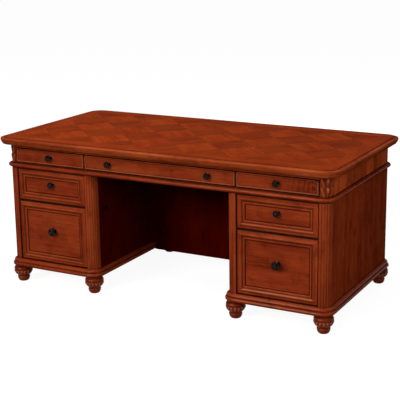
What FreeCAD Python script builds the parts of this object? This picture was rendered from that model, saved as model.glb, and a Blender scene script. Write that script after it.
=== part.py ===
import FreeCAD, Part
import math
import os

import Sketcher

# A double pedestal executive desk: frieze with three drawers, a box drawer over a file drawer in each
# pedestal, fluted corner posts, carved corner blocks, turned feet and a moulded top.
# Millimetres. The origin is on the floor under the middle of the desk, +X to the sitter's right seen from
# the front, the drawers open towards -Y, +Z is up.

SIZES = {
    # whole desk, from the floor up
    "desk_length": 1829,
    "desk_depth": 914,
    "foot_height": 90,
    "base_height": 36,
    "pedestal_height": 479,
    "waist_height": 27,
    "frieze_height": 88,
    "top_thickness": 42,
    "top_overhang": 48,
    "pedestal_width": 504,
    "case_corner_radius": 40,
    # moulded edge of the top
    "top_corner_radius": 80,
    "edge_depth": 70,
    "edge_foot_inset": 42,
    "edge_fillet_height": 4,
    "edge_cove_inset": 14,
    "edge_cove_height": 18,
    "edge_cove_radius": 26,
    "edge_nose_radius": 6,
    "edge_ovolo_radius": 22,
    "edge_quirk_inset": 20,
    "edge_quirk_drop": 3,
    # waist and base mouldings
    "waist_projection": 16,
    "waist_depth": 36,
    "waist_fillet": 3,
    "base_projection": 22,
    "base_depth": 58,
    "base_lip": 4,
    "base_cove_radius": 18,
    "base_nose_height": 20,
    "mitre_gap": 0.1,
    # posts, panels and boards
    "post_size": 48,
    "flute_radius": 4.2,
    "flute_depth": 2.6,
    "panel_recess": 2,
    "side_thickness": 18,
    "panel_thickness": 16,
    "bottom_thickness": 18,
    "divider_thickness": 20,
    "modesty_setback": 539,
    "modesty_thickness": 18,
    "notch_play": 1,
    "top_rail_height": 9,
    "top_rail_recess": 2,
    "cross_rail_height": 18,
    "cross_rail_depth": 22,
    "block_swell": 2.5,
    "block_waist": 3,
    # feet
    "foot_inset": 32,
    "foot_bulb_radius": 47,
    # bolts between pedestals and waist board
    "bolt_radius": 4,
    "bolt_length": 60,
    "bolt_head_radius": 8,
    "bolt_head_height": 6,
    "bolt_play": 0.5,
    "bolt_inset": 34,
    # drawer fronts
    "front_gap": 3,
    "front_inset": 1,
    "front_panel_thickness": 14,
    "frame_thickness": 10,
    "frame_width": 38,
    "box_front_height": 159,
    "drawer_gap": 8,
    "frieze_lift": 4,
    "bead_width": 6,
    "bead_relief": 2,
    # drawer boxes
    "wall_thickness": 12,
    "tray_thickness": 6,
    "tray_lift": 8,
    "side_lift": 14,
    "side_headroom": 32,
    "frieze_headroom": 20,
    "box_drawer_depth": 560,
    "file_drawer_depth": 610,
    "frieze_drawer_depth": 460,
    "hanger_thickness": 3,
    "hanger_height": 14,
    "run_gap": 0.3,
    "side_play": 0.5,
    "frieze_box_inset": 2,
    "strip_width": 15,
    "guide_height": 18,
    # drawer slides
    "slide_space": 12.7,
    "slide_lip": 10.2,
    "slide_height": 46,
    "slide_wall": 1.5,
    "slide_play": 0.5,
    "slide_setback": 2,
    "box_slide_length": 540,
    "file_slide_length": 600,
    "cleat_height": 60,
    # knobs
    "knob_radius": 15,
    "file_knob_radius": 19,
    "knob_rise": 11,
    "centre_knob_place": 270,
    # locks in the kneehole sides
    "lock_setback": 114,
    "lock_drop": 14,
    "lock_flange_radius": 12,
    "lock_flange_thickness": 2,
    "lock_barrel_radius": 9,
    "lock_barrel_length": 26,
    "lock_plug_radius": 7,
    "lock_plug_proud": 1,
    "lock_play": 0.3,
    "key_slot_width": 2,
    "key_slot_height": 9,
    "key_slot_depth": 6,
    "cam_gap": 1,
    "cam_thickness": 3,
    "cam_hub_radius": 8,
    "cam_width": 10,
    "cam_length": 36,
    "strike_clearance": 2,
    "strike_drop": 28,
    "strike_height": 16,
    "strike_depth": 12,
    # how far a cutting shape runs past what it cuts
    "overrun": 5,
}

# Outlines as shares of the sizes they follow. Each row is a point, then the bend of the stretch that leads
# on from it: None for straight, or a radius share with +1 where its centre lies to the left.
# Drawer frame: shares of the frame's width, then of its thickness; bends are shares of the width.
FRAME_SHARES = [
    (0.00, 0.00, None, 0),
    (0.00, 0.60, 0.07, -1),
    (0.06, 0.80, None, 0),
    (0.34, 0.80, None, 0),
    (0.34, 1.00, None, 0),
    (0.40, 1.00, 0.30, -1),
    (0.66, 0.42, None, 0),
    (0.74, 0.42, 0.34, 1),
    (1.00, 0.10, None, 0),
    (1.00, 0.00, None, 0),
]
# Turned foot: shares of the bulb's radius, then of the foot's height; bends are shares of the bulb's radius.
FOOT_SHARES = [
    (0.00, 0.000, None, 0),
    (0.43, 0.000, 0.34, 1),
    (0.53, 0.240, None, 0),
    (0.48, 0.260, None, 0),
    (0.50, 0.300, 0.95, 1),
    (1.00, 0.600, 0.55, 1),
    (0.78, 0.860, None, 0),
    (0.66, 0.880, None, 0),
    (0.66, 1.000, None, 0),
    (0.00, 1.000, None, 0),
]
# Knob: shares of its radius, with the back plate at the bottom and the dome at the top.
KNOB_SHARES = [
    (0.00, 0.00, None, 0),
    (0.82, 0.00, None, 0),
    (0.82, 0.10, None, 0),
    (0.46, 0.20, 0.62, -1),
    (0.60, 0.72, None, 0),
    (0.94, 0.84, 0.16, 1),
    (0.90, 1.06, None, 0),
    (0.74, 1.10, None, 0),
    (0.70, 1.16, 1.60, 1),
    (0.14, 1.30, None, 0),
    (0.00, 1.30, None, 0),
]
# Carved block: shares of its height at the foot, swell and waist of each tier of leaves.
TIER_SHARES = (0.06, 0.30, 0.50, 0.74, 0.94)
# Round nose of the base moulding: its radius as a share of the nose's height.
BASE_NOSE_SHARE = 0.62
FLUTE_COUNT = 5
QUARTER_TURN = 90
FULL_TURN = 360

doc = FreeCAD.newDocument("executive_desk")
sheet = doc.addObject("Spreadsheet::Sheet", "dims")
for row, (alias, value) in enumerate(SIZES.items(), start=1):
    sheet.set(f"A{row}", alias)
    sheet.set(f"B{row}", str(value))
    sheet.setAlias(f"B{row}", alias)
doc.recompute()


class Size(str):
    """An expression on the sheet's cells that adds up like a number."""

    def __add__(self, other):
        return Size(f"({self} + {other})")

    def __sub__(self, other):
        return Size(f"({self} - {other})")

    def __mul__(self, factor):
        return Size(f"({self} * {factor})")

    def __truediv__(self, factor):
        return Size(f"({self} / {factor})")

    def __neg__(self):
        return Size(f"(-{self})")


class Cells:
    """One attribute for each named size of the sheet."""

    def __init__(self, names):
        for name in names:
            setattr(self, name, Size(f"dims.{name}"))


d = Cells(SIZES)
ZERO = Size("0")
nodes = []


def number(size):
    return float(sheet.evalExpression(str(size)))


def bind(thing, **sizes):
    """Tie properties to sizes; at_x, at_y and at_z stand for the placement."""
    for name, size in sizes.items():
        path = f"Placement.Base.{name[-1]}" if name.startswith("at_") else name
        thing.setExpression(path, str(size))
    return thing


def node(label, thing):
    """Keep an object as a sub-part; its label is also its file's name."""
    thing.Label = label
    nodes.append(thing)
    return thing


def box(name, x, y, z):
    """A board between two planes in each direction."""
    board = doc.addObject("Part::Box", name)
    bind(board, Length=x[1] - x[0], Width=y[1] - y[0], Height=z[1] - z[0])
    return bind(board, at_x=x[0], at_y=y[0], at_z=z[0])


def rod(name, radius, length, at, axis=FreeCAD.Vector(0, 0, 1)):
    """A cylinder from a point along an axis."""
    bar = doc.addObject("Part::Cylinder", name)
    bar.Placement = FreeCAD.Placement(FreeCAD.Vector(), FreeCAD.Rotation(FreeCAD.Vector(0, 0, 1), axis))
    bind(bar, Radius=radius, Height=length)
    return bind(bar, at_x=at[0], at_y=at[1], at_z=at[2])


def group(name, members):
    """Separate solids kept together."""
    pieces = doc.addObject("Part::Compound", name)
    pieces.Links = members
    return pieces


def cut(name, base, tools):
    rest = doc.addObject("Part::Cut", name)
    rest.Base = base
    rest.Tool = tools[0] if len(tools) == 1 else group(f"{name}_tools", tools)
    return rest


def fuse(name, members):
    whole = doc.addObject("Part::MultiFuse", name)
    whole.Shapes = members
    return whole


def mirror(source, axis, plane=ZERO):
    """The mirror image across a plane square to an axis."""
    image = doc.addObject("Part::Mirroring", f"{source.Name}_image")
    image.Source = source
    image.Normal = FreeCAD.Vector(*(float(axis == letter) for letter in "xyz"))
    image.setExpression(f"Base.{axis}", str(plane))
    return image


def both(name, source, axis="x", plane=ZERO):
    return group(name, [source, mirror(source, axis, plane)])


def sketch_on(body, role):
    """An empty sketch on one of the body's own origin planes."""
    plane = next(feature for feature in body.Origin.OriginFeatures if feature.Role == role)
    sketch = body.newObject("Sketcher::SketchObject", f"{body.Name}_{role}")
    sketch.AttachmentSupport = [(plane, "")]
    sketch.MapMode = "FlatFace"
    return sketch


def arc_between(start, end, radius, side):
    """An arc whose centre lies to the left (+1) or right (-1) of the way from start to end."""
    chord = end - start
    left = FreeCAD.Vector(-chord.y, chord.x, 0).normalize()
    reach = math.sqrt(max(radius ** 2 - (chord.Length / 2) ** 2, 0))
    centre = (start + end) / 2 + left * (side * reach)
    first, last = (start, end) if side > 0 else (end, start)
    angles = [math.atan2(point.y - centre.y, point.x - centre.x) for point in (first, last)]
    return Part.ArcOfCircle(Part.Circle(centre, FreeCAD.Vector(0, 0, 1), radius), *angles)


def draw(sketch, points, closed=True):
    """Lines and arcs through points whose places and radii are tied to sizes."""
    places = [FreeCAD.Vector(number(x), number(y), 0) for x, y, _, _ in points]
    count = len(points) if closed else len(points) - 1
    ends = []
    for index in range(count):
        _, _, radius, side = points[index]
        start, end = places[index], places[(index + 1) % len(points)]
        if radius is None:
            ends.append((sketch.addGeometry(Part.LineSegment(start, end)), 1, 2))
        else:
            piece = sketch.addGeometry(arc_between(start, end, number(radius), side))
            ends.append((piece, 1, 2) if side > 0 else (piece, 2, 1))
            tie(sketch, Sketcher.Constraint("Radius", piece, number(radius)), radius)
    for index, (piece, first, last) in enumerate(ends):
        pin(sketch, piece, first, points[index])
        if closed or index + 1 < count:
            following, joint, _ = ends[(index + 1) % count]
            sketch.addConstraint(Sketcher.Constraint("Coincident", piece, last, following, joint))
    if not closed:
        pin(sketch, ends[-1][0], ends[-1][2], points[-1])
    return sketch


def tie(sketch, constraint, size):
    index = sketch.addConstraint(constraint)
    sketch.setExpression(f"Constraints[{index}]", str(size))


def pin(sketch, piece, end, point):
    """Hold a point at its two distances from the sketch's origin."""
    for kind, size in (("DistanceX", point[0]), ("DistanceY", point[1])):
        tie(sketch, Sketcher.Constraint(kind, -1, 1, piece, end, number(size)), size)


def pad(name, role, points, length):
    """An outline on an origin plane, pushed out along the plane's normal."""
    body = doc.addObject("PartDesign::Body", name)
    outline = draw(sketch_on(body, role), points)
    feature = body.newObject("PartDesign::Pad", f"{name}_pad")
    feature.Profile = outline
    bind(feature, Length=length)
    return body


def turned(name, points, turn=FULL_TURN):
    """An outline of radius and height, turned about the upright axis."""
    body = doc.addObject("PartDesign::Body", name)
    outline = draw(sketch_on(body, "XZ_Plane"), points)
    feature = body.newObject("PartDesign::Revolution", f"{name}_turn")
    feature.Profile = outline
    feature.ReferenceAxis = (outline, ["V_Axis"])
    feature.Angle = turn
    return body


def shaped(shares, across, along, bend):
    """Points of an outline from its table of shares."""
    return [
        (across * x, along * y, None if radius is None else bend * radius, side)
        for x, y, radius, side in shares
    ]


def rounded_board(name, half_x, half_y, radius, thickness):
    """A board about the origin with round upright corners."""
    run_x, run_y = half_x - radius, half_y - radius
    points = []
    for first, second in (
        ((run_x, -half_y), (half_x, -run_y)),
        ((half_x, run_y), (run_x, half_y)),
        ((-run_x, half_y), (-half_x, run_y)),
        ((-half_x, -run_y), (-run_x, -half_y)),
    ):
        points.append((*first, radius, 1))
        points.append((*second, None, 0))
    return pad(name, "XY_Plane", points, thickness)


def strip_path(sketch, run, reach, radius, place):
    """Half a round corner, a straight run and half a round corner, with a glue gap left at the mitres."""
    turn = f"({QUARTER_TURN} deg / 2 - asin({d.mitre_gap / 2} / {radius}))"
    tip = run + radius * Size(f"sin({turn})")
    back = reach - radius + radius * Size(f"cos({turn})")
    ends = [(-tip, back), (-run, reach), (run, reach), (tip, back)]
    bends = [(radius, 1), (None, 0), (radius, 1), (None, 0)]
    return draw(sketch, [(*place(*end), *bend) for end, bend in zip(ends, bends)], closed=False)


def moulding_strip(name, role, run, reach, radius, place, outline):
    """One mitred strip: its outline swept along half corner, side and half corner."""
    body = doc.addObject("PartDesign::Body", name)
    path = strip_path(sketch_on(body, "XY_Plane"), run, reach, radius, place)
    section = draw(sketch_on(body, role), outline)
    feature = body.newObject("PartDesign::AdditivePipe", f"{name}_pipe")
    feature.Profile = section
    feature.Spine = (path, [])
    return body


def moulding_ring(name, half_x, half_y, radius, outline, at_x, at_z):
    """Four mitred strips round a rectangle; the outline is (inset, height, bend, side) from the nose."""
    front_points = [(inset - half_y, height, bend, side) for inset, height, bend, side in outline]
    side_points = [(half_x - inset, height, bend, -side) for inset, height, bend, side in outline]
    run_x, run_y = half_x - radius, half_y - radius
    front = moulding_strip(
        f"{name}_front", "YZ_Plane", run_x, half_y, radius, lambda run, reach: (run, -reach), front_points
    )
    side = moulding_strip(
        f"{name}_side", "XZ_Plane", run_y, half_x, radius, lambda run, reach: (reach, run), side_points
    )
    ring = group(f"{name}_ring", [front, mirror(front, "y"), side, mirror(side, "x")])
    return bind(ring, at_x=at_x, at_z=at_z)


def channel(name, x, y, z, wall, opens_low):
    """A folded steel channel, open towards low or high X."""
    inner_x = (x[0] - d.overrun, x[1] - wall) if opens_low else (x[0] + wall, x[1] + d.overrun)
    hollow = box(f"{name}_hollow", inner_x, (y[0] - d.overrun, y[1] + d.overrun), (z[0] + wall, z[1] - wall))
    return cut(name, box(f"{name}_stock", x, y, z), [hollow])


# Places shared by the pieces
half_length = d.desk_length / 2
half_depth = d.desk_depth / 2
case_x = half_length - d.top_overhang
case_y = half_depth - d.top_overhang
base_z = d.foot_height
pedestal_z = base_z + d.base_height
waist_z = pedestal_z + d.pedestal_height
frieze_z = waist_z + d.waist_height
top_z = frieze_z + d.frieze_height
pedestal_inner = case_x - d.pedestal_width
pedestal_middle = case_x - d.pedestal_width / 2
open_outer = case_x - d.post_size
open_inner = pedestal_inner + d.post_size
post_back = d.post_size - case_y
front_face = d.front_inset - case_y
panel_face = front_face + d.frame_thickness
front_back = panel_face + d.front_panel_thickness
back_face = case_y - d.panel_recess - d.panel_thickness
front_x = (open_inner + d.front_gap, open_outer - d.front_gap)
box_front_z = (waist_z - d.front_gap - d.box_front_height, waist_z - d.front_gap)
file_front_z = (pedestal_z + d.front_gap, box_front_z[0] - d.drawer_gap)
frieze_front_z = (frieze_z + d.frieze_lift, top_z - d.top_rail_height - d.front_gap)
side_span = (post_back, -post_back)
pedestal_span = (pedestal_z, waist_z)
frieze_span = (frieze_z, top_z)


# Top
node(
    "top_panel",
    bind(
        rounded_board(
            "top_core",
            half_length - d.edge_depth,
            half_depth - d.edge_depth,
            d.top_corner_radius - d.edge_depth,
            d.top_thickness,
        ),
        at_z=top_z,
    ),
)
edge_outline = [
    (d.edge_depth, ZERO, None, 0),
    (d.edge_depth, d.top_thickness, None, 0),
    (d.edge_quirk_inset, d.top_thickness, None, 0),
    (d.edge_quirk_inset, d.top_thickness - d.edge_quirk_drop, d.edge_ovolo_radius, 1),
    (ZERO, d.edge_cove_height + d.edge_nose_radius, d.edge_nose_radius, 1),
    (d.edge_nose_radius, d.edge_cove_height, None, 0),
    (d.edge_cove_inset, d.edge_cove_height, d.edge_cove_radius, -1),
    (d.edge_foot_inset, d.edge_fillet_height, None, 0),
    (d.edge_foot_inset, ZERO, None, 0),
]
node(
    "top_edge_moulding",
    moulding_ring("top_edge", half_length, half_depth, d.top_corner_radius, edge_outline, ZERO, top_z),
)

# Frieze
rail_y = (d.top_rail_recess - case_y, post_back)
rail_z = (top_z - d.top_rail_height, top_z)
node("frieze_top_rail", box("frieze_rail", (-open_outer, open_outer), rail_y, rail_z))
back_y = (back_face, case_y - d.panel_recess)
node("frieze_back_panel", box("frieze_back", (-open_outer, open_outer), back_y, frieze_span))
end_x = (case_x - d.panel_recess - d.side_thickness, case_x - d.panel_recess)
node("frieze_end_panels", both("frieze_ends", box("frieze_end", end_x, side_span, frieze_span)))
divider_x = (open_inner - d.divider_thickness / 2, open_inner + d.divider_thickness / 2)
node("frieze_dividers", both("dividers", box("divider", divider_x, (post_back, back_face), frieze_span)))


def carved_block():
    """A corner block whose rounded front swells in two tiers of leaves."""
    swell = d.case_corner_radius + d.block_swell
    neck = d.case_corner_radius - d.block_waist
    reaches = (neck, swell, neck, swell, neck)
    points = [(ZERO, ZERO, None, 0), (neck, ZERO, None, 0)]
    points += [(reach, d.frieze_height * share, None, 0) for reach, share in zip(reaches, TIER_SHARES)]
    points += [(neck, d.frieze_height, None, 0), (ZERO, d.frieze_height, None, 0)]
    leaves = turned("leaf_quarter", points, QUARTER_TURN)
    leaves.Placement = FreeCAD.Placement(
        FreeCAD.Vector(), FreeCAD.Rotation(FreeCAD.Vector(0, 0, 1), -QUARTER_TURN)
    )
    corner_x, corner_y = case_x - d.case_corner_radius, d.case_corner_radius - case_y
    bind(leaves, at_x=corner_x, at_y=corner_y, at_z=frieze_z)
    inner_y = (d.block_waist - case_y, post_back)
    inner_arm = box("block_inner_arm", (open_outer, corner_x), inner_y, frieze_span)
    rear_x = (open_outer, case_x - d.block_waist)
    rear_arm = box("block_rear_arm", rear_x, (corner_y, post_back), frieze_span)
    return fuse("carved_block", [leaves, inner_arm, rear_arm])


block_pair = both("carved_block_pair", carved_block(), "y")
node("carved_corner_blocks", both("carved_blocks", block_pair))


# Waist
def on_each_post(name, master):
    """A copy at all four posts of both pedestals."""
    pair = both(f"{name}_pair", master, "y")
    four = both(f"{name}_four", pair, "x", pedestal_middle)
    return both(f"{name}_eight", four)


bolt_x, bolt_y = case_x - d.bolt_inset, d.bolt_inset - case_y
head_z = frieze_z - d.bolt_head_height - d.bolt_play
bolt_foot = head_z - d.bolt_length
bolt = fuse(
    "pedestal_bolt",
    [
        rod("bolt_shank", d.bolt_radius, d.bolt_length, (bolt_x, bolt_y, bolt_foot)),
        rod("bolt_head", d.bolt_head_radius, d.bolt_head_height, (bolt_x, bolt_y, head_z)),
    ],
)
node("pedestal_bolts", on_each_post("pedestal_bolts", bolt))
hole_length = d.bolt_length + d.bolt_head_height + d.overrun
bolt_hole = rod(
    "bolt_hole", d.bolt_radius + d.bolt_play, hole_length, (bolt_x, bolt_y, bolt_foot - d.bolt_play)
)
head_hole = rod(
    "bolt_head_hole",
    d.bolt_head_radius + d.bolt_play,
    d.bolt_head_height + d.bolt_play + d.overrun,
    (bolt_x, bolt_y, head_z),
)
waist_core = bind(
    rounded_board(
        "waist_core",
        case_x + d.waist_projection - d.waist_depth,
        case_y + d.waist_projection - d.waist_depth,
        d.case_corner_radius + d.waist_projection - d.waist_depth,
        d.waist_height,
    ),
    at_z=waist_z,
)
bolt_holes = on_each_post("bolt_holes", group("bolt_hole_stack", [bolt_hole, head_hole]))
node("waist_board", cut("waist_board", waist_core, [bolt_holes]))
waist_round = d.waist_height / 2 - d.waist_fillet
waist_outline = [
    (d.waist_depth, ZERO, None, 0),
    (d.waist_depth, d.waist_height, None, 0),
    (waist_round, d.waist_height, None, 0),
    (waist_round, d.waist_height - d.waist_fillet, waist_round, 1),
    (ZERO, d.waist_height / 2, waist_round, 1),
    (waist_round, d.waist_fillet, None, 0),
    (waist_round, ZERO, None, 0),
]
node(
    "waist_moulding",
    moulding_ring(
        "waist",
        case_x + d.waist_projection,
        case_y + d.waist_projection,
        d.case_corner_radius + d.waist_projection,
        waist_outline,
        ZERO,
        waist_z,
    ),
)

# Kneehole back
modesty_y = (d.modesty_setback - case_y, d.modesty_setback - case_y + d.modesty_thickness)
modesty_edge = pedestal_inner + d.panel_recess
notch = box(
    "modesty_notch",
    (pedestal_inner - d.base_projection - d.notch_play, modesty_edge + d.overrun),
    (modesty_y[0] - d.overrun, modesty_y[1] + d.overrun),
    (base_z - d.overrun, pedestal_z + d.notch_play),
)
modesty_stock = box("modesty_stock", (-modesty_edge, modesty_edge), modesty_y, (base_z, waist_z))
node("modesty_panel", cut("modesty", modesty_stock, [notch, mirror(notch, "x")]))


# Pedestals; the left one mirrors the right
def pair(label, right):
    node(f"right_{label}", right)
    node(f"left_{label}", mirror(right, "x"))


def corner_post():
    """A square post with a round outer corner, fluted from end to end."""
    radius = d.case_corner_radius
    corner_x, corner_y = case_x - radius, radius - case_y
    points = [
        (open_outer, -case_y, None, 0),
        (corner_x, -case_y, radius, 1),
        (case_x, corner_y, None, 0),
        (case_x, post_back, None, 0),
        (open_outer, post_back, None, 0),
    ]
    stock = bind(pad("post_stock", "XY_Plane", points, d.pedestal_height), at_z=pedestal_z)
    flutes = []
    for index in range(FLUTE_COUNT):
        angle = (index + 1 / 2) / FLUTE_COUNT * math.radians(QUARTER_TURN)
        reach = radius + d.flute_radius - d.flute_depth
        place = (
            corner_x + reach * math.cos(angle),
            corner_y - reach * math.sin(angle),
            pedestal_z - d.overrun,
        )
        flutes.append(rod(f"flute_{index}", d.flute_radius, d.pedestal_height + d.overrun * 2, place))
    return cut("corner_post", stock, flutes + [bolt_hole])


node("corner_posts", on_each_post("corner_posts", corner_post()))
pair("outer_side_panel", box("outer_side", end_x, side_span, pedestal_span))
inner_face = pedestal_inner + d.panel_recess
lock_y = d.lock_setback - case_y
lock_z = file_front_z[1] - d.lock_drop
along_x = FreeCAD.Vector(1, 0, 0)
barrel_hole = rod(
    "barrel_hole",
    d.lock_barrel_radius + d.lock_play,
    d.side_thickness + d.overrun * 2,
    (inner_face - d.overrun, lock_y, lock_z),
    along_x,
)
inner_stock = box("inner_side_stock", (inner_face, inner_face + d.side_thickness), side_span, pedestal_span)
pair("kneehole_side_panel", cut("inner_side", inner_stock, [barrel_hole]))
pair("back_panel", box("pedestal_back", (open_inner, open_outer), back_y, pedestal_span))
base_inside = d.base_depth - d.base_projection
bottom_board = rounded_board(
    "bottom_board",
    d.pedestal_width / 2 - base_inside,
    case_y - base_inside,
    d.case_corner_radius - base_inside,
    d.bottom_thickness,
)
pair("bottom_board", bind(bottom_board, at_x=pedestal_middle, at_z=pedestal_z - d.bottom_thickness))

base_outline = [
    (d.base_depth, ZERO, None, 0),
    (d.base_depth, d.base_height, None, 0),
    (d.base_projection - d.base_lip, d.base_height, None, 0),
    (d.base_projection - d.base_lip, d.base_height - d.base_lip, d.base_cove_radius, -1),
    (d.base_lip, d.base_nose_height + d.base_lip, None, 0),
    (d.base_lip, d.base_nose_height, d.base_nose_height * BASE_NOSE_SHARE, 1),
    (d.base_lip * 2, ZERO, None, 0),
]
base_ring = moulding_ring(
    "base",
    d.pedestal_width / 2 + d.base_projection,
    case_y + d.base_projection,
    d.case_corner_radius + d.base_projection,
    base_outline,
    pedestal_middle,
    base_z,
)
node("base_moulding", both("base_rings", base_ring))
foot = turned("foot", shaped(FOOT_SHARES, d.foot_bulb_radius, d.foot_height, d.foot_bulb_radius))
bind(foot, at_x=case_x - d.foot_inset, at_y=d.foot_inset - case_y)
node("turned_feet", on_each_post("turned_feet", foot))

gap_z = file_front_z[1] + d.drawer_gap / 2
cross_rail = box(
    "cross_rail",
    (open_inner, open_outer),
    (front_back + d.slide_setback, front_back + d.slide_setback + d.cross_rail_depth),
    (gap_z - d.cross_rail_height / 2, gap_z + d.cross_rail_height / 2),
)
node("drawer_cross_rails", both("cross_rails", cross_rail))

# Locks
barrel = cut(
    "lock_barrel",
    fuse(
        "barrel_stock",
        [
            rod(
                "barrel_tube",
                d.lock_barrel_radius,
                d.lock_barrel_length,
                (inner_face, lock_y, lock_z),
                along_x,
            ),
            rod(
                "barrel_flange",
                d.lock_flange_radius,
                d.lock_flange_thickness,
                (inner_face - d.lock_flange_thickness, lock_y, lock_z),
                along_x,
            ),
        ],
    ),
    [
        rod(
            "barrel_bore",
            d.lock_plug_radius + d.lock_play,
            d.lock_barrel_length + d.overrun * 3,
            (inner_face - d.overrun, lock_y, lock_z),
            along_x,
        )
    ],
)
node("lock_barrels", both("lock_barrel_set", barrel))
plug_x = inner_face - d.lock_flange_thickness - d.lock_plug_proud
cam_x = open_inner + d.cam_gap
plug_stock = rod("plug_stock", d.lock_plug_radius, cam_x - plug_x, (plug_x, lock_y, lock_z), along_x)
key_slot = box(
    "key_slot",
    (plug_x - d.overrun, plug_x + d.key_slot_depth),
    (lock_y - d.key_slot_width / 2, lock_y + d.key_slot_width / 2),
    (lock_z - d.key_slot_height / 2, lock_z + d.key_slot_height / 2),
)
cam = fuse(
    "lock_cam",
    [
        rod("cam_hub", d.cam_hub_radius, d.cam_thickness, (cam_x, lock_y, lock_z), along_x),
        box(
            "cam_arm",
            (cam_x, cam_x + d.cam_thickness),
            (lock_y - d.cam_length, lock_y),
            (lock_z - d.cam_width / 2, lock_z + d.cam_width / 2),
        ),
    ],
)
pair("lock_plug_and_cam", group("lock_plug_set", [cut("lock_plug", plug_stock, [key_slot]), cam]))


# Drawers
def drawer_box(name, x, y, z, extra=()):
    """Two sides, an inner front, a back and a bottom."""
    wall = d.wall_thickness
    inside_x = (x[0] + wall, x[1] - wall)
    tray_z = z[0] + d.tray_lift
    members = [
        box(f"{name}_low_side", (x[0], inside_x[0]), y, z),
        box(f"{name}_high_side", (inside_x[1], x[1]), y, z),
        box(f"{name}_inner_front", inside_x, (y[0], y[0] + wall), z),
        box(f"{name}_back", inside_x, (y[1] - wall, y[1]), z),
        box(f"{name}_tray", inside_x, (y[0] + wall, y[1] - wall), (tray_z, tray_z + d.tray_thickness)),
    ]
    return group(f"{name}_set", members + list(extra))


def knob(name, radius, x, y, z):
    """A turned knob whose back plate sits on the plane y."""
    shape = turned(name, shaped(KNOB_SHARES, radius, radius, radius))
    shape.Placement = FreeCAD.Placement(
        FreeCAD.Vector(), FreeCAD.Rotation(FreeCAD.Vector(1, 0, 0), QUARTER_TURN)
    )
    return bind(shape, at_x=x, at_y=y, at_z=z)


def frame_strips(name, x, z):
    """A mitred frame of four strips on the face of a drawer front."""
    width, thick = d.frame_width, d.frame_thickness
    outline = shaped(FRAME_SHARES, width, thick, width)
    rail_points = [(panel_face - out, z[0] + inset, bend, side) for inset, out, bend, side in outline]
    stile_points = [(x[0] + inset, panel_face - out, bend, -side) for inset, out, bend, side in outline]
    inner_x, inner_z = (x[0] + width, x[1] - width), (z[0] + width, z[1] - width)
    rail_front = [(x[0], z[0]), (x[1], z[0]), (inner_x[1], inner_z[0]), (inner_x[0], inner_z[0])]
    stile_front = [(x[0], z[0]), (inner_x[0], inner_z[0]), (inner_x[0], inner_z[1]), (x[0], z[1])]
    strips = []
    for part, role, points, place, length, front, axis, span in (
        ("rail", "YZ_Plane", rail_points, {"at_x": x[0]}, x[1] - x[0], rail_front, "z", z),
        ("stile", "XY_Plane", stile_points, {"at_z": z[0]}, z[1] - z[0], stile_front, "x", x),
    ):
        length_piece = bind(pad(f"{name}_{part}_run", role, points, length), **place)
        mitre_points = [(*corner, None, 0) for corner in front]
        mitre_piece = bind(pad(f"{name}_{part}_mitre", "XZ_Plane", mitre_points, thick), at_y=panel_face)
        strip = doc.addObject("Part::Common", f"{name}_{part}")
        strip.Base, strip.Tool = length_piece, mitre_piece
        strips += [strip, mirror(strip, axis, (span[0] + span[1]) / 2)]
    return group(f"{name}_strips", strips)


def slide_members(name, z, length):
    """Cabinet, middle and drawer channels of the slide on the outer side of the drawer."""
    step = d.slide_wall + d.slide_play
    y = (front_back + d.slide_setback, front_back + d.slide_setback + length)
    half = d.slide_height / 2
    lip = open_outer - d.slide_lip
    cabinet = channel(f"{name}_cabinet", (lip, open_outer), y, (z - half, z + half), d.slide_wall, True)
    half = half - step
    middle = channel(f"{name}_middle", (lip, open_outer - step), y, (z - half, z + half), d.slide_wall, True)
    half = half - step
    drawer_x = (open_outer - d.slide_space, open_outer - step * 2)
    drawer = channel(f"{name}_drawer", drawer_x, y, (z - half, z + half), d.slide_wall, False)
    return cabinet, middle, drawer


def plain_slide(name, z, length):
    """Cabinet and drawer channels of a slide without a middle member."""
    step = d.slide_wall + d.slide_play
    y = (front_back + d.slide_setback, front_back + d.slide_setback + length)
    half = d.slide_height / 2
    cabinet_x = (open_outer - d.slide_lip, open_outer)
    cabinet = channel(f"{name}_cabinet", cabinet_x, y, (z - half, z + half), d.slide_wall, True)
    half = half - step
    drawer_x = (open_outer - d.slide_space, open_outer - step)
    drawer = channel(f"{name}_drawer", drawer_x, y, (z - half, z + half), d.slide_wall, False)
    return cabinet, drawer


def two_sides(name, source):
    return both(name, source, "x", pedestal_middle)


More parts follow.
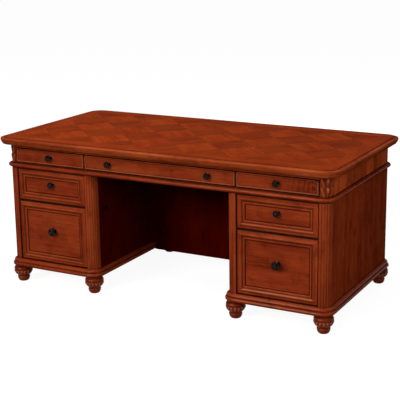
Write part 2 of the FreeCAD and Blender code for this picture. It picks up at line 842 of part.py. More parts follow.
box_x = (open_inner + d.slide_space, open_outer - d.slide_space)
cleats = []
rails = []
for kind, front_z, depth, slide_length, knob_radius in (
    ("box", box_front_z, d.box_drawer_depth, d.box_slide_length, d.knob_radius),
    ("file", file_front_z, d.file_drawer_depth, d.file_slide_length, d.file_knob_radius),
):
    panel = box(f"{kind}_front_panel", front_x, (panel_face, front_back), front_z)
    pair(f"{kind}_drawer_front", panel)
    pair(f"{kind}_drawer_frame", frame_strips(f"{kind}_frame", front_x, front_z))
    knob_z = (front_z[0] + front_z[1]) / 2 + d.knob_rise
    pair(f"{kind}_drawer_knob", knob(f"{kind}_knob", knob_radius, pedestal_middle, panel_face, knob_z))
    side_z = (front_z[0] + d.side_lift, front_z[1] - d.side_headroom)
    run_y = (front_back, front_back + depth)
    slide_z = (side_z[0] + side_z[1]) / 2
    fittings = []
    if kind == "file":
        hanger_y = (run_y[0] + d.wall_thickness, run_y[1] - d.wall_thickness)
        hanger_x = (box_x[0] + d.wall_thickness, box_x[0] + d.wall_thickness + d.hanger_thickness)
        hanger = box("file_hanger", hanger_x, hanger_y, (side_z[1] - d.hanger_height, side_z[1]))
        strike_y = lock_y + d.cam_width / 2 + d.strike_clearance
        strike = box(
            "lock_strike",
            (cam_x, box_x[0]),
            (strike_y, strike_y + d.strike_depth),
            (lock_z - d.strike_drop - d.strike_height, lock_z - d.strike_drop),
        )
        fittings = [hanger, mirror(hanger, "x", pedestal_middle), strike]
        cabinet, middle, runner = slide_members("file_slide", slide_z, slide_length)
        pair("file_slide_middle_members", two_sides("file_middles", middle))
    else:
        cabinet, runner = plain_slide("box_slide", slide_z, slide_length)
    pair(f"{kind}_drawer_box", drawer_box(f"{kind}_drawer", box_x, run_y, side_z, fittings))
    pair(f"{kind}_slide_drawer_members", two_sides(f"{kind}_runners", runner))
    rails.append(two_sides(f"{kind}_cabinet_rails", cabinet))
    cleat_z = (slide_z - d.cleat_height / 2, slide_z + d.cleat_height / 2)
    cleat = box(f"{kind}_cleat", (open_outer, end_x[0]), side_span, cleat_z)
    cleats.append(two_sides(f"{kind}_cleats", cleat))
node("slide_cleats", both("cleat_set", group("right_cleats", cleats)))
node("slide_cabinet_rails", both("rail_set", group("right_rails", rails)))


# Frieze drawers
def frieze_front(name, x):
    """A flat front whose edge stands proud as a narrow bead."""
    stock = box(f"{name}_stock", x, (front_face, front_back), frieze_front_z)
    field = box(
        f"{name}_field",
        (x[0] + d.bead_width, x[1] - d.bead_width),
        (front_face - d.overrun, front_face + d.bead_relief),
        (frieze_front_z[0] + d.bead_width, frieze_front_z[1] - d.bead_width),
    )
    return cut(name, stock, [field])


frieze_run = (front_back, front_back + d.frieze_drawer_depth)
frieze_side_z = (frieze_z + d.run_gap, frieze_front_z[1] - d.frieze_headroom)
frieze_knob_z = (frieze_front_z[0] + frieze_front_z[1]) / 2
frieze_knob_y = front_face + d.bead_relief
side_drawer_x = (divider_x[1] + d.side_play, open_outer - d.front_gap - d.frieze_box_inset)
centre_drawer_x = (-divider_x[0] + d.side_play, divider_x[0] - d.side_play)
pair("frieze_drawer_front", frieze_front("side_front", front_x))
pair("frieze_drawer_box", drawer_box("side_drawer", side_drawer_x, frieze_run, frieze_side_z))
pair("frieze_drawer_knob", knob("side_knob", d.knob_radius, pedestal_middle, frieze_knob_y, frieze_knob_z))
centre_x = open_inner - d.front_gap
node("centre_drawer_front", frieze_front("centre_front", (-centre_x, centre_x)))
node("centre_drawer_box", drawer_box("centre_drawer", centre_drawer_x, frieze_run, frieze_side_z))
centre_knob = knob("centre_knob", d.knob_radius, d.centre_knob_place, frieze_knob_y, frieze_knob_z)
node("centre_drawer_knobs", both("centre_knobs", centre_knob))

# Strips that guide the frieze drawers: beside the outer ones, and above the sides of all three
guide_low = side_drawer_x[1] + d.side_play
guide = box(
    "drawer_guide",
    (guide_low, guide_low + d.strip_width),
    side_span,
    (frieze_z, frieze_z + d.guide_height),
)
kickers = [
    box(f"kicker_{index}", kicker_x, (post_back, back_face), (frieze_side_z[1] + d.side_play, top_z))
    for index, kicker_x in enumerate(
        (
            (divider_x[0] - d.strip_width, divider_x[0]),
            (divider_x[1], divider_x[1] + d.strip_width),
            (side_drawer_x[1] - d.strip_width, side_drawer_x[1]),
        )
    )
]
node("frieze_drawer_guides", both("guide_set", group("right_guides", [guide] + kickers)))

doc.recompute()
faults = [thing.Name for thing in doc.Objects if {"Invalid", "Error"} & set(thing.State)]
for piece in nodes:
    shape = piece.Shape
    if shape.isNull() or not shape.isValid() or not shape.Solids:
        faults.append(piece.Label)
if faults:
    raise RuntimeError(f"these did not build: {faults}")

os.makedirs("parts", exist_ok=True)
for piece in nodes:
    piece.Shape.exportStep(f"parts/{piece.Label}.step")
solids = sum(len(piece.Shape.Solids) for piece in nodes)
print(f"{len(nodes)} sub-parts, {solids} solids")
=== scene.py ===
# %% [markdown]
# An executive desk, dressed for the camera.
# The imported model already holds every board, drawer and slide at its real size. This lesson gives it its
# looks: lacquered cherry with a parquet top, carved corner blocks, turned feet, soft mouldings and dark
# bronze knobs. A piece that is only a plain board keeps its own mesh and gets a finish. A piece that a
# carver, a turner or a moulder would make is modelled again here, in the same place.

# %% Load the frame
import math

import bpy
from mathutils import Matrix, Vector


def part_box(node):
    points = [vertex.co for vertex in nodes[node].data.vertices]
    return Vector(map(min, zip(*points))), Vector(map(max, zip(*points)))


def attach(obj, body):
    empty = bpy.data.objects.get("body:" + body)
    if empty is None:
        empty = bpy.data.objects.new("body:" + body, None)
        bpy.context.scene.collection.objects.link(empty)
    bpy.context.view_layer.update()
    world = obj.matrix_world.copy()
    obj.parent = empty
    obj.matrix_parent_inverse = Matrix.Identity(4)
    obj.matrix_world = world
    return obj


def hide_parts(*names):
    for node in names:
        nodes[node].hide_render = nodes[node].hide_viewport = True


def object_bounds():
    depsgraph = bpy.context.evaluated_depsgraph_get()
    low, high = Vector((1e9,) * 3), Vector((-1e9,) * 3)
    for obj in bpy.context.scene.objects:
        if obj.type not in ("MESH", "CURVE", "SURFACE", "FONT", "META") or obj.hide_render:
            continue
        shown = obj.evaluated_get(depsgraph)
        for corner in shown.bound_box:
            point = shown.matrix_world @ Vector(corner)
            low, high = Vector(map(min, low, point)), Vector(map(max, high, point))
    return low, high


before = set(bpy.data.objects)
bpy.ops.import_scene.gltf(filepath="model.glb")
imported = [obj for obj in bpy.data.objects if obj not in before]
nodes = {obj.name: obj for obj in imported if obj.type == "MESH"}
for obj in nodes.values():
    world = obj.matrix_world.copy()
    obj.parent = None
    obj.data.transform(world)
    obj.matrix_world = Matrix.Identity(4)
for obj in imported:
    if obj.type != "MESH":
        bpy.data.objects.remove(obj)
cad_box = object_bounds()
MM = 0.001

# %% [markdown]
# Places that several steps need are read from the frame, so that the looks follow the construction.
# The corner posts give the outline of the case, and a box drawer gives the middle line of a pedestal.

# %% Read the main places from the frame
case_low, case_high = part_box("corner_posts")
frieze_low, frieze_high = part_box("carved_corner_blocks")
top_low, top_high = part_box("top_edge_moulding")
box_low, box_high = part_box("right_box_drawer_front")
pedestal_x = (box_low.x + box_high.x) / 2
print("case half sizes", case_high.x, case_high.y, "pedestal middle", pedestal_x)

# %% [markdown]
# A few small helpers serve every material.
# Colours are given as sRGB hex values, the way a colour picker gives them, but Cycles counts light
# in linear values, so one function turns the one into the other. A second one adds a node, sets it and
# links it, so that a material reads as a list of steps. Short forms of it serve the nodes that come up
# most: a place on the piece, a sum, a change of range, and a blend of two colours.

# %% Colour and node helpers
def linear(hex_colour):
    """An sRGB hex colour as linear red, green, blue and alpha."""
    parts = [int(hex_colour[place:place + 2], 16) / 255 for place in (1, 3, 5)]
    return [c / 12.92 if c <= 0.04045 else ((c + 0.055) / 1.055) ** 2.4 for c in parts] + [1.0]


def add_node(tree, kind, inputs=None, stops=None, **settings):
    """A new shader node; an input is a value, a socket, or a node whose first output is meant."""
    node = tree.nodes.new("ShaderNode" + kind)
    for name, value in settings.items():
        setattr(node, name, value)
    for socket, value in (inputs or {}).items():
        if isinstance(value, bpy.types.Node):
            value = value.outputs[0]
        if isinstance(value, bpy.types.NodeSocket):
            tree.links.new(value, node.inputs[socket])
        else:
            node.inputs[socket].default_value = value
    for element_place, (place, colour) in enumerate(stops or []):
        elements = node.color_ramp.elements
        if element_place >= len(elements):
            elements.new(1.0)
        elements[element_place].position = place
        elements[element_place].color = linear(colour)
    return node


def new_material(name):
    """An empty material, its node tree and its output node."""
    material = bpy.data.materials.new(name)
    material.use_nodes = True
    material.node_tree.nodes.clear()
    return material, material.node_tree, add_node(material.node_tree, "OutputMaterial")


def object_place(tree):
    """The place of a point on its piece, which is also its place on the desk at rest."""
    return add_node(tree, "TexCoord").outputs["Object"]


# The Mix node has sockets for several kinds of data; these are the places of its colour sockets.
MIX_A, MIX_B, MIXED = 6, 7, 2


def calculate(tree, operation, *values):
    """A Math node with its values in order."""
    return add_node(tree, "Math", dict(enumerate(values)), operation=operation)


def ranged(tree, value, start, end, low, high):
    """A number that goes from low to high while the value goes from start to end."""
    limits = {"Value": value, "From Min": start, "From Max": end, "To Min": low, "To Max": high}
    return add_node(tree, "MapRange", limits)


def blend(tree, share, first, second, way="MIX"):
    """The colour between two others, by the share of the second."""
    sockets = {"Factor": share, MIX_A: first, MIX_B: second}
    return add_node(tree, "Mix", sockets, data_type="RGBA", blend_type=way).outputs[MIXED]


print("linear cherry", [round(part, 3) for part in linear("#7A2C13")])

# %% [markdown]
# Stained cherry is fine-grained: long faint streaks, small dark pores, slow blotches where the stain sank
# in, and on this desk a few short dark marks that the finisher added to make it look older.
# Each is a layer of noise that is drawn out along the grain, so a layer is sized by two lengths in
# millimetres, across and along. The pores are drawn coarser than real ones, because real ones are too fine
# to show.

# %% The figure of cherry
CHERRY = ("#5A1B0B", "#832F14", "#95401C")
# Each layer of the figure: its size across and along the grain in millimetres, and its detail.
STREAKS, BLOTCHES, PORES = (11, 460, 5), (70, 240, 3), (1.4, 24, 2)
MARKS, SMOKE = (4.5, 22, 1), (48, 70, 3)
STREAK_SHARE, BLOTCH_SHARE = 0.45, 0.55
PORE_DARK, MARK_DARK, SMOKE_DARK = 0.45, 0.55, 0.42


def figure_layer(tree, place, across, along, detail):
    """One layer of the wood's figure, sized in millimetres, with the grain along local X."""
    size = Vector((1 / along, 1 / across, 1 / across)) / MM
    sized = add_node(tree, "Mapping", {"Vector": place, "Scale": size})
    return add_node(tree, "TexNoise", {"Vector": sized, "Scale": 1.0, "Detail": detail, "Roughness": 0.58})


def cherry_wood(tree, place, tones=CHERRY, haze=SMOKE_DARK):
    """The colour of stained cherry, and its figure from 0 to 1 for gloss and relief."""
    layers = (STREAKS, BLOTCHES, PORES, MARKS, SMOKE)
    streaks, blotches, pores, marks, smoke = (figure_layer(tree, place, *layer) for layer in layers)
    share = calculate(tree, "MULTIPLY", streaks, STREAK_SHARE)
    figure = calculate(tree, "MULTIPLY_ADD", blotches, BLOTCH_SHARE, share)
    spread = [(0.30, tones[0]), (0.51, tones[1]), (0.74, tones[2])]
    colour = add_node(tree, "ValToRGB", {"Fac": figure}, stops=spread)
    pore_mask = ranged(tree, pores, 0.30, 0.45, PORE_DARK, 0.0)
    mark_mask = ranged(tree, marks, 0.70, 0.78, 0.0, MARK_DARK)
    smoke_mask = ranged(tree, smoke, 0.52, 0.72, 0.0, haze)
    flecks = calculate(tree, "MAXIMUM", pore_mask, mark_mask)
    dark = calculate(tree, "MAXIMUM", flecks, smoke_mask)
    return blend(tree, dark, colour, linear(tones[0]), "MULTIPLY"), figure


print("cherry recipe ready")

# %% [markdown]
# The finish on the wood is a toned lacquer with a dark glaze.
# The Ambient Occlusion node finds the corners of the mouldings and darkens them, partly as the glaze that
# stayed there when it was wiped off the flats and partly as painted shade. Its inside form finds the sharp
# edges and lightens them, partly as wood where the glaze was rubbed through and partly as a painted
# highlight.
# The Bevel node softens each edge by a fraction of a millimetre, so that it catches light as sanded wood
# does.
# The lacquer is toned with amber, so its gloss is tinted warm and the wood keeps its red under a pale sky.

# %% Glaze and lacquer
# The dark colour of the glaze and of painted shade; also that of the fine joints and lines.
GLAZE_AND_SHADE = "#1E0502"
# The colour of rubbed edges, which is also a painted highlight there.
RUBBED_AND_HIGHLIGHT = "#A14B22"
LACQUER_TINT = "#FFB890"
WOOD_IOR = 1.5
# How far glaze and painted shade reach from a corner, rubbing and a painted highlight from an edge,
# and the rounding of an edge, in millimetres.
GLAZE_AND_SHADE_REACH, RUB_AND_HIGHLIGHT_REACH, EDGE_ROUND = 11, 2.5, 0.8
# How open a corner is, from 0 to 1, where the glaze and painted shade are fullest and where they end, and
# how full they get.
FLAT_GLAZE_AND_SHADE = (0.30, 0.86, 0.90)
MOULDED_GLAZE_AND_SHADE = (0.40, 0.93, 0.94)
EDGE_GLAZE_AND_SHADE = (0.15, 0.60, 0.30)
# The same for the rubbing and painted highlight on an edge, by how much wood lies behind it.
EDGE_RUB_AND_HIGHLIGHT = (0.45, 0.95, 0.35)
# How far a slope looks up, from 0 to 1, where its shine begins and where it is full.
ROUND_SLOPE = (0.12, 0.42)
STEEP_SLOPE = (0.50, 0.70)


def lacquer(
    tree, output, colour, figure, polish=0.40, gloss=0.04, shine=0.40, glaze=FLAT_GLAZE_AND_SHADE, slope=ROUND_SLOPE
):
    """Glaze and painted shade in the corners, rubbed edges with a painted highlight, and toned lacquer;
    polish is the roughness of the dullest streak.

    Gloss is the reflection of upright faces, and shine that of slopes which look up."""
    # Painted shade, with glaze, in the corners.
    corner = add_node(tree, "AmbientOcclusion", {"Distance": GLAZE_AND_SHADE_REACH * MM}, samples=8)
    corner_mask = ranged(tree, corner.outputs["AO"], *glaze, 0.0)
    glazed_and_shaded = blend(tree, corner_mask, colour, linear(GLAZE_AND_SHADE))
    # A painted highlight, with rubbing, along the sharp edges.
    edge = add_node(tree, "AmbientOcclusion", {"Distance": RUB_AND_HIGHLIGHT_REACH * MM}, samples=8, inside=True)
    edge_mask = ranged(tree, edge.outputs["AO"], *EDGE_RUB_AND_HIGHLIGHT, 0.0)
    worn_and_highlit = blend(tree, edge_mask, glazed_and_shaded, linear(RUBBED_AND_HIGHLIGHT))
    soft_edge = add_node(tree, "Bevel", {"Radius": EDGE_ROUND * MM}, samples=6)
    relief = add_node(
        tree, "Bump", {"Height": figure, "Strength": 0.05, "Distance": 0.3 * MM, "Normal": soft_edge}
    )
    dull = ranged(tree, figure, 0.35, 0.65, polish, polish - 0.08)
    normal = add_node(tree, "NewGeometry").outputs["Normal"]
    facing = add_node(tree, "SeparateXYZ", {0: normal}).outputs["Z"]
    polished = ranged(tree, facing, *slope, gloss, shine)
    surface = add_node(
        tree,
        "BsdfPrincipled",
        {
            "Base Color": worn_and_highlit,
            "Roughness": dull,
            "IOR": WOOD_IOR,
            "Specular IOR Level": polished,
            "Specular Tint": linear(LACQUER_TINT),
            "Normal": relief,
        },
    )
    tree.links.new(surface.outputs[0], output.inputs[0])


print("lacquer ready")

# %% [markdown]
# Grain runs along a board, so a material needs to know which way the board lies.
# Object coordinates are the same as the desk's own frame here, and a Mapping node of the texture kind turns
# them until the grain lies along local X. On a mitred moulding or frame the grain turns at the corner: a
# point belongs to the strip whose outer edge is nearer, which is the same rule that puts a 45 degree mitre
# in the corner. The two halves of the desk are alike, so one rule for the right half serves both.

# %% Grain along a board, and round a mitred corner
GRAIN_TURN = {"X": (0, 0, 0), "Y": (0, 0, math.pi / 2), "Z": (0, math.pi / 2, 0)}


def grain_along(tree, axis):
    """Object coordinates turned so that the grain, along X, Y or Z of the desk, lies along local X."""
    place = object_place(tree)
    turned = add_node(tree, "Mapping", {"Vector": place, "Rotation": GRAIN_TURN[axis]}, vector_type="TEXTURE")
    return turned.outputs[0]


def edge_gaps(tree, other, half, centre):
    """How far a point lies past each pair of a rectangle's edges in the mirrored desk; negative inside."""
    apart = add_node(tree, "SeparateXYZ", {0: object_place(tree)})
    mirrored = calculate(tree, "ABSOLUTE", apart.outputs["X"])
    gaps = []
    for value, middle, reach in zip((mirrored, apart.outputs[other]), centre, half):
        off = calculate(tree, "SUBTRACT", value, middle)
        away = calculate(tree, "ABSOLUTE", off)
        gaps.append(calculate(tree, "SUBTRACT", away, reach))
    return gaps


def mitred_grain(tree, other, half, centre=(0.0, 0.0)):
    """Grain along X on two strips of a rectangle in the mirrored desk, and along the other axis on two."""
    side = calculate(tree, "GREATER_THAN", *edge_gaps(tree, other, half, centre))
    return blend(tree, side, grain_along(tree, "X"), grain_along(tree, other))


print("grain helpers ready")

# %% [markdown]
# Most boards are plain cherry with straight grain, and differ only in the way the grain runs.
# A few take lighter tones, painted light that lifts parts which the lamps leave darker: the rail and the ends
# of the frieze, which lie under the overhang of the top, the top's own edge, and the posts and the drawer
# frames.
# The kneehole takes the same recipe with deeper tones, painted shade for the shade that fills it.

# %% Straight-grained cherry
# Painted shade: deeper tones for the kneehole; the darkest one also stains the poplar's front edge.
SHADE_AND_STAIN_CHERRY = ("#3A0300", "#460600", "#500B01")
# Painted light: lighter tones for parts that lie in shade or catch less light.
RAIL_CHERRY_PAINTED_LIGHT = ("#6E2410", "#A0401C", "#B25428")
EDGE_CHERRY_PAINTED_LIGHT = ("#66240F", "#953E1C", "#A6522B")
POST_CHERRY_PAINTED_LIGHT = ("#61200E", "#8C371A", "#9E4A24")
MATT = 0.0
MOULDED = {"polish": 0.28, "gloss": MATT, "shine": 0.28, "glaze": MOULDED_GLAZE_AND_SHADE}


def cherry_board(name, axis, tones=CHERRY, gloss=0.04, glaze=FLAT_GLAZE_AND_SHADE):
    """Solid or veneered cherry under toned lacquer: a warm red-brown with a soft satin gloss."""
    material, tree, output = new_material(name)
    colour, figure = cherry_wood(tree, grain_along(tree, axis), tones)
    lacquer(tree, output, colour, figure, gloss=gloss, glaze=glaze)
    return material


def cherry_mitred(name, other, half, centre=(0.0, 0.0), tones=CHERRY, **finish):
    """The same cherry on mitred strips: the grain turns at each corner."""
    material, tree, output = new_material(name)
    colour, figure = cherry_wood(tree, mitred_grain(tree, other, half, centre), tones)
    lacquer(tree, output, colour, figure, **(MOULDED | finish))
    return material


cherry_x = cherry_board("cherry_rail", "X")
cherry_top_rail = cherry_board("cherry_top_rail", "X", RAIL_CHERRY_PAINTED_LIGHT, MATT, EDGE_GLAZE_AND_SHADE)
cherry_z = cherry_board("cherry_upright", "Z", gloss=MATT)
cherry_post = cherry_board("cherry_post", "Z", POST_CHERRY_PAINTED_LIGHT, MATT)
deep_cherry_z = cherry_board("cherry_kneehole_veneer", "Z", SHADE_AND_STAIN_CHERRY, MATT)
deep_cherry_x = cherry_board("cherry_kneehole_ceiling", "X", SHADE_AND_STAIN_CHERRY, MATT)
print("straight cherry", cherry_x.name, cherry_z.name, deep_cherry_z.name)

# %% [markdown]
# A moulding runs round a rectangle: round the whole desk at the top and the waist, and round one pedestal at
# the base. Its finish takes the half sizes of that rectangle, so that the grain turns in the mitres.

# %% Mitred cherry for the mouldings
waist_low, waist_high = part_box("waist_moulding")
base_low, base_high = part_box("base_moulding")
top_half = (top_high.x, top_high.y)
waist_half = (waist_high.x, waist_high.y)
base_half = (base_high.x - pedestal_x, base_high.y)
cherry_edge = cherry_mitred(
    "cherry_top_edge", "Y", top_half, tones=EDGE_CHERRY_PAINTED_LIGHT, shine=0.04, glaze=EDGE_GLAZE_AND_SHADE
)
cherry_waist = cherry_mitred("cherry_waist", "Y", waist_half)
cherry_base = cherry_mitred("cherry_base", "Y", base_half, (pedestal_x, 0.0))
print("mitred cherry", cherry_edge.name, cherry_waist.name, cherry_base.name)

# %% [markdown]
# A box or file drawer is a panel in a mitred frame. The panel is darkened over a few millimetres from the
# inner
# edge of the frame: painted shade for the frame's shadow on it, and some glaze where a cloth can't reach.

# %% Cherry for the drawer frames and their panels
FRAME_WIDTH, FRAME_EASE = 38, 2.8
# How far from the frame the painted shade begins and where it is full, in millimetres, and how full it gets.
RIM_SHADE_START, RIM_SHADE_FULL, RIM_SHADE = 7, 2, 0.9


def cherry_panel(name, half, centre):
    """A veneered panel in a frame, with a dark rim of painted shade along the frame."""
    material, tree, output = new_material(name)
    colour, figure = cherry_wood(tree, grain_along(tree, "X"))
    nearest = calculate(tree, "MAXIMUM", *edge_gaps(tree, "Z", half, centre))
    # Painted shade along the inner edge of the frame.
    painted_shade_share = ranged(tree, nearest, -RIM_SHADE_START * MM, -RIM_SHADE_FULL * MM, 0.0, RIM_SHADE)
    lacquer(tree, output, blend(tree, painted_shade_share, colour, linear(GLAZE_AND_SHADE)), figure)
    return material


frame_finishes = {}
panel_finishes = {}
for kind in ("box", "file"):
    low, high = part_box(f"right_{kind}_drawer_frame")
    half = ((high.x - low.x) / 2, (high.z - low.z) / 2)
    middle = ((high.x + low.x) / 2, (high.z + low.z) / 2)
    inner = [reach - (FRAME_WIDTH + FRAME_EASE) * MM for reach in half]
    frame_finishes[kind] = cherry_mitred(
        f"cherry_{kind}_frame", "Z", half, middle, POST_CHERRY_PAINTED_LIGHT, slope=STEEP_SLOPE, shine=0.42
    )
    panel_finishes[kind] = cherry_panel(f"cherry_{kind}_panel", inner, middle)
print("drawer finishes", list(frame_finishes), [round(reach, 3) for reach in inner])

# %% [markdown]
# Carved work gets the same cherry, darker in its hollows and lighter on its high places: glaze left in the
# hollows and wiped off the high places, with painted shade in the hollows and a painted highlight on the
# crests. The mesh of a carved piece carries a number for that at each point, from 0 in a hollow to 1 on a
# crest, and the
# Attribute node reads it.

# %% Carved cherry
# A painted highlight on the crests, and painted shade in the hollows.
CREST_HIGHLIGHT = "#B4664A"
HOLLOW_SHADE, CREST_HIGHLIGHT_SHARE = 0.46, 0.7
cherry_carved, tree, output = new_material("cherry_carved")
colour, figure = cherry_wood(tree, grain_along(tree, "Z"))
carving = add_node(tree, "Attribute", attribute_name="carving").outputs["Fac"]
# Painted shade with glaze in the hollows, then a painted highlight with rubbing on the crests.
hollow = ranged(tree, carving, 0.05, 0.5, HOLLOW_SHADE, 0.0)
glazed_and_shaded = blend(tree, hollow, colour, linear(GLAZE_AND_SHADE))
crest = ranged(tree, carving, 0.6, 0.95, 0.0, CREST_HIGHLIGHT_SHARE)
rubbed = blend(tree, crest, glazed_and_shaded, linear(CREST_HIGHLIGHT))
lacquer(tree, output, rubbed, figure, polish=0.34, shine=0.5, glaze=EDGE_GLAZE_AND_SHADE)
print("carved finish", cherry_carved.name)

# %% [markdown]
# The sides are veneered with upright planks, a hand or two wide, that were cut from different boards.
# Each plank takes a number, and the number shifts the figure and the tone, so neighbours differ as boards
# do. A fine dark line stays at each joint.

# %% Planked veneer for the sides
PLANK_JOINT, JOINT_DARK = 0.9, 0.6
FIRST_PLANK = 0.5


def planked_cherry(name, joints, spread, tones=CHERRY):
    """Upright veneer planks, side by side along Y, with the joints at the given places in millimetres."""
    material, tree, output = new_material(name)
    along = add_node(tree, "SeparateXYZ", {0: object_place(tree)}).outputs["Y"]
    number = FIRST_PLANK
    seam = 0.0
    for joint in joints:
        past = calculate(tree, "GREATER_THAN", along, joint * MM)
        number = calculate(tree, "ADD", number, past)
        line = calculate(tree, "COMPARE", along, joint * MM, PLANK_JOINT * MM)
        seam = calculate(tree, "MAXIMUM", seam, line)
    shift = add_node(tree, "CombineXYZ", {"X": number, "Y": number, "Z": number})
    moved = add_node(tree, "VectorMath", {0: grain_along(tree, "Z"), 1: shift}, operation="ADD")
    colour, figure = cherry_wood(tree, moved, tones)
    chance = add_node(tree, "TexWhiteNoise", {"W": number}, noise_dimensions="1D")
    other = calculate(tree, "FLOORED_MODULO", number, 2.0)
    mixed = calculate(tree, "MULTIPLY_ADD", other, 0.5, chance)
    tone = ranged(tree, mixed, 0.4, 1.6, 1 - spread, 1 + spread)
    plank = add_node(tree, "HueSaturation", {"Value": tone, "Color": colour})
    faint = calculate(tree, "MULTIPLY", seam, JOINT_DARK)
    jointed = blend(tree, faint, plank, linear(GLAZE_AND_SHADE))
    lacquer(tree, output, jointed, figure, polish=0.5, gloss=MATT)
    return material


side_planks = planked_cherry("cherry_side_planks", (-190, 62), 0.16)
end_joints = (-285, -190, -95, 12, 62, 170, 268)
end_planks = planked_cherry("cherry_frieze_end_planks", end_joints, 0.34, RAIL_CHERRY_PAINTED_LIGHT)
print("planked", side_planks.name, end_planks.name)

# %% [markdown]
# The top is veneered in parquet: squares set on their corners inside a plain border.
# Turning the coordinates by 45 degrees makes the squares a simple grid, so the whole part of each coordinate
# numbers the square and the rest says how near its edge is. Squares of odd and even number have their grain
# crossed, and the odd ones are a little lighter, as crossed veneer looks in one light.

# %% The squares of the parquet
SQUARE = 172.5
PARQUET_LINE, LINE_DARK = 0.7, 0.5
PARQUET_TONES = ("#721E04", "#8C320B", "#9B3F10")
PARQUET_HAZE = 0.18
# How far the figure of one square may lie from the next one's, in metres.
SQUARE_SHIFT = (9, 9, 9)


def parquet_squares(tree, place):
    """The colour of crossed squares of cherry with a fine dark line between them, and their figure."""
    eighth = (0, 0, math.pi / 4)
    turned = add_node(tree, "Mapping", {"Vector": place, "Rotation": eighth}, vector_type="TEXTURE")
    quarter = {"Vector": turned, "Rotation": GRAIN_TURN["Y"]}
    crossed = add_node(tree, "Mapping", quarter, vector_type="TEXTURE")
    grid = add_node(tree, "VectorMath", {0: turned, "Scale": 1 / (SQUARE * MM)}, operation="SCALE")
    square = add_node(tree, "VectorMath", {0: grid}, operation="FLOOR")
    numbers = add_node(tree, "SeparateXYZ", {0: square})
    total = calculate(tree, "ADD", numbers.outputs["X"], numbers.outputs["Y"])
    odd = calculate(tree, "FLOORED_MODULO", total, 2.0)
    chance = add_node(tree, "TexWhiteNoise", {"Vector": square}, noise_dimensions="2D")
    shift = {0: chance.outputs["Color"], 1: SQUARE_SHIFT, 2: blend(tree, odd, turned, crossed)}
    moved = add_node(tree, "VectorMath", shift, operation="MULTIPLY_ADD")
    colour, figure = cherry_wood(tree, moved, PARQUET_TONES, PARQUET_HAZE)
    crossed_tone = ranged(tree, odd, 0.0, 1.0, 0.86, 1.10)
    own_tone = ranged(tree, chance, 0.0, 1.0, 0.94, 1.06)
    tone = calculate(tree, "MULTIPLY", crossed_tone, own_tone)
    squares = add_node(tree, "HueSaturation", {"Value": tone, "Color": colour})
    rest = add_node(tree, "SeparateXYZ", {0: add_node(tree, "VectorMath", {0: grid}, operation="FRACTION")})
    fine = PARQUET_LINE / SQUARE
    first = calculate(tree, "COMPARE", rest.outputs["X"], 0.0, fine)
    second = calculate(tree, "COMPARE", rest.outputs["Y"], 0.0, fine)
    line = calculate(tree, "MAXIMUM", first, second)
    faint = calculate(tree, "MULTIPLY", line, LINE_DARK)
    return blend(tree, faint, squares, linear(GLAZE_AND_SHADE)), figure


print("parquet of", SQUARE, "mm squares")

# %% [markdown]
# The border's grain runs along the edges, mitred at the corners. A little painted shade darkens the veneer
# along the quirk, the step where the veneer meets the solid edge. That step is straight along the sides and
# round at the corners, so how near it is comes from the length of the way past a smaller, square-cornered
# rectangle.

# %% The whole veneer of the top
FIELD_BORDER = 91.5
TOP_CORNER, QUIRK = 80, 20
# How far the painted shade along the quirk reaches, in millimetres, and how dark it gets.
QUIRK_SHADE_REACH, QUIRK_SHADE = 9, 0.6


def parquet_cherry():
    """Cherry parquet in a border, rubbed smoother than the case and with little shine from above."""
    material, tree, output = new_material("cherry_parquet")
    place = object_place(tree)
    field, figure = parquet_squares(tree, place)
    border, _ = cherry_wood(tree, mitred_grain(tree, "Y", top_half), PARQUET_TONES, PARQUET_HAZE)
    apart = add_node(tree, "SeparateXYZ", {0: place})
    inside = []
    for axis, reach in zip("XY", top_half):
        away = calculate(tree, "ABSOLUTE", apart.outputs[axis])
        inside.append(calculate(tree, "LESS_THAN", away, reach - FIELD_BORDER * MM))
    in_field = calculate(tree, "MULTIPLY", *inside)
    whole = blend(tree, in_field, border, field)
    straight = [reach - TOP_CORNER * MM for reach in top_half]
    past_x, past_y = edge_gaps(tree, "Y", straight, (0.0, 0.0))
    past = add_node(tree, "CombineXYZ", {"X": past_x, "Y": past_y})
    outside = add_node(tree, "VectorMath", {0: past, 1: (0, 0, 0)}, operation="MAXIMUM")
    far = add_node(tree, "VectorMath", {0: outside}, operation="LENGTH").outputs["Value"]
    quirk = (TOP_CORNER - QUIRK) * MM
    # Painted shade along the quirk.
    painted_shade_share = ranged(tree, far, quirk - QUIRK_SHADE_REACH * MM, quirk, 0.0, QUIRK_SHADE)
    rimmed = blend(tree, painted_shade_share, whole, linear(GLAZE_AND_SHADE))
    lacquer(tree, output, rimmed, figure, polish=0.28, shine=0.02)
    return material


parquet = parquet_cherry()
print("veneer", parquet.name, "with a border of", FIELD_BORDER, "mm")

# %% [markdown]
# Inside, a desk is made of plainer wood. Drawer boxes are pale maple, waxed rather than lacquered. The frame
# behind the fronts is poplar: bare inside, and stained at its front edge, where it shows between the
# drawers.

# %% Maple and poplar
STAIN_DEPTH = 45


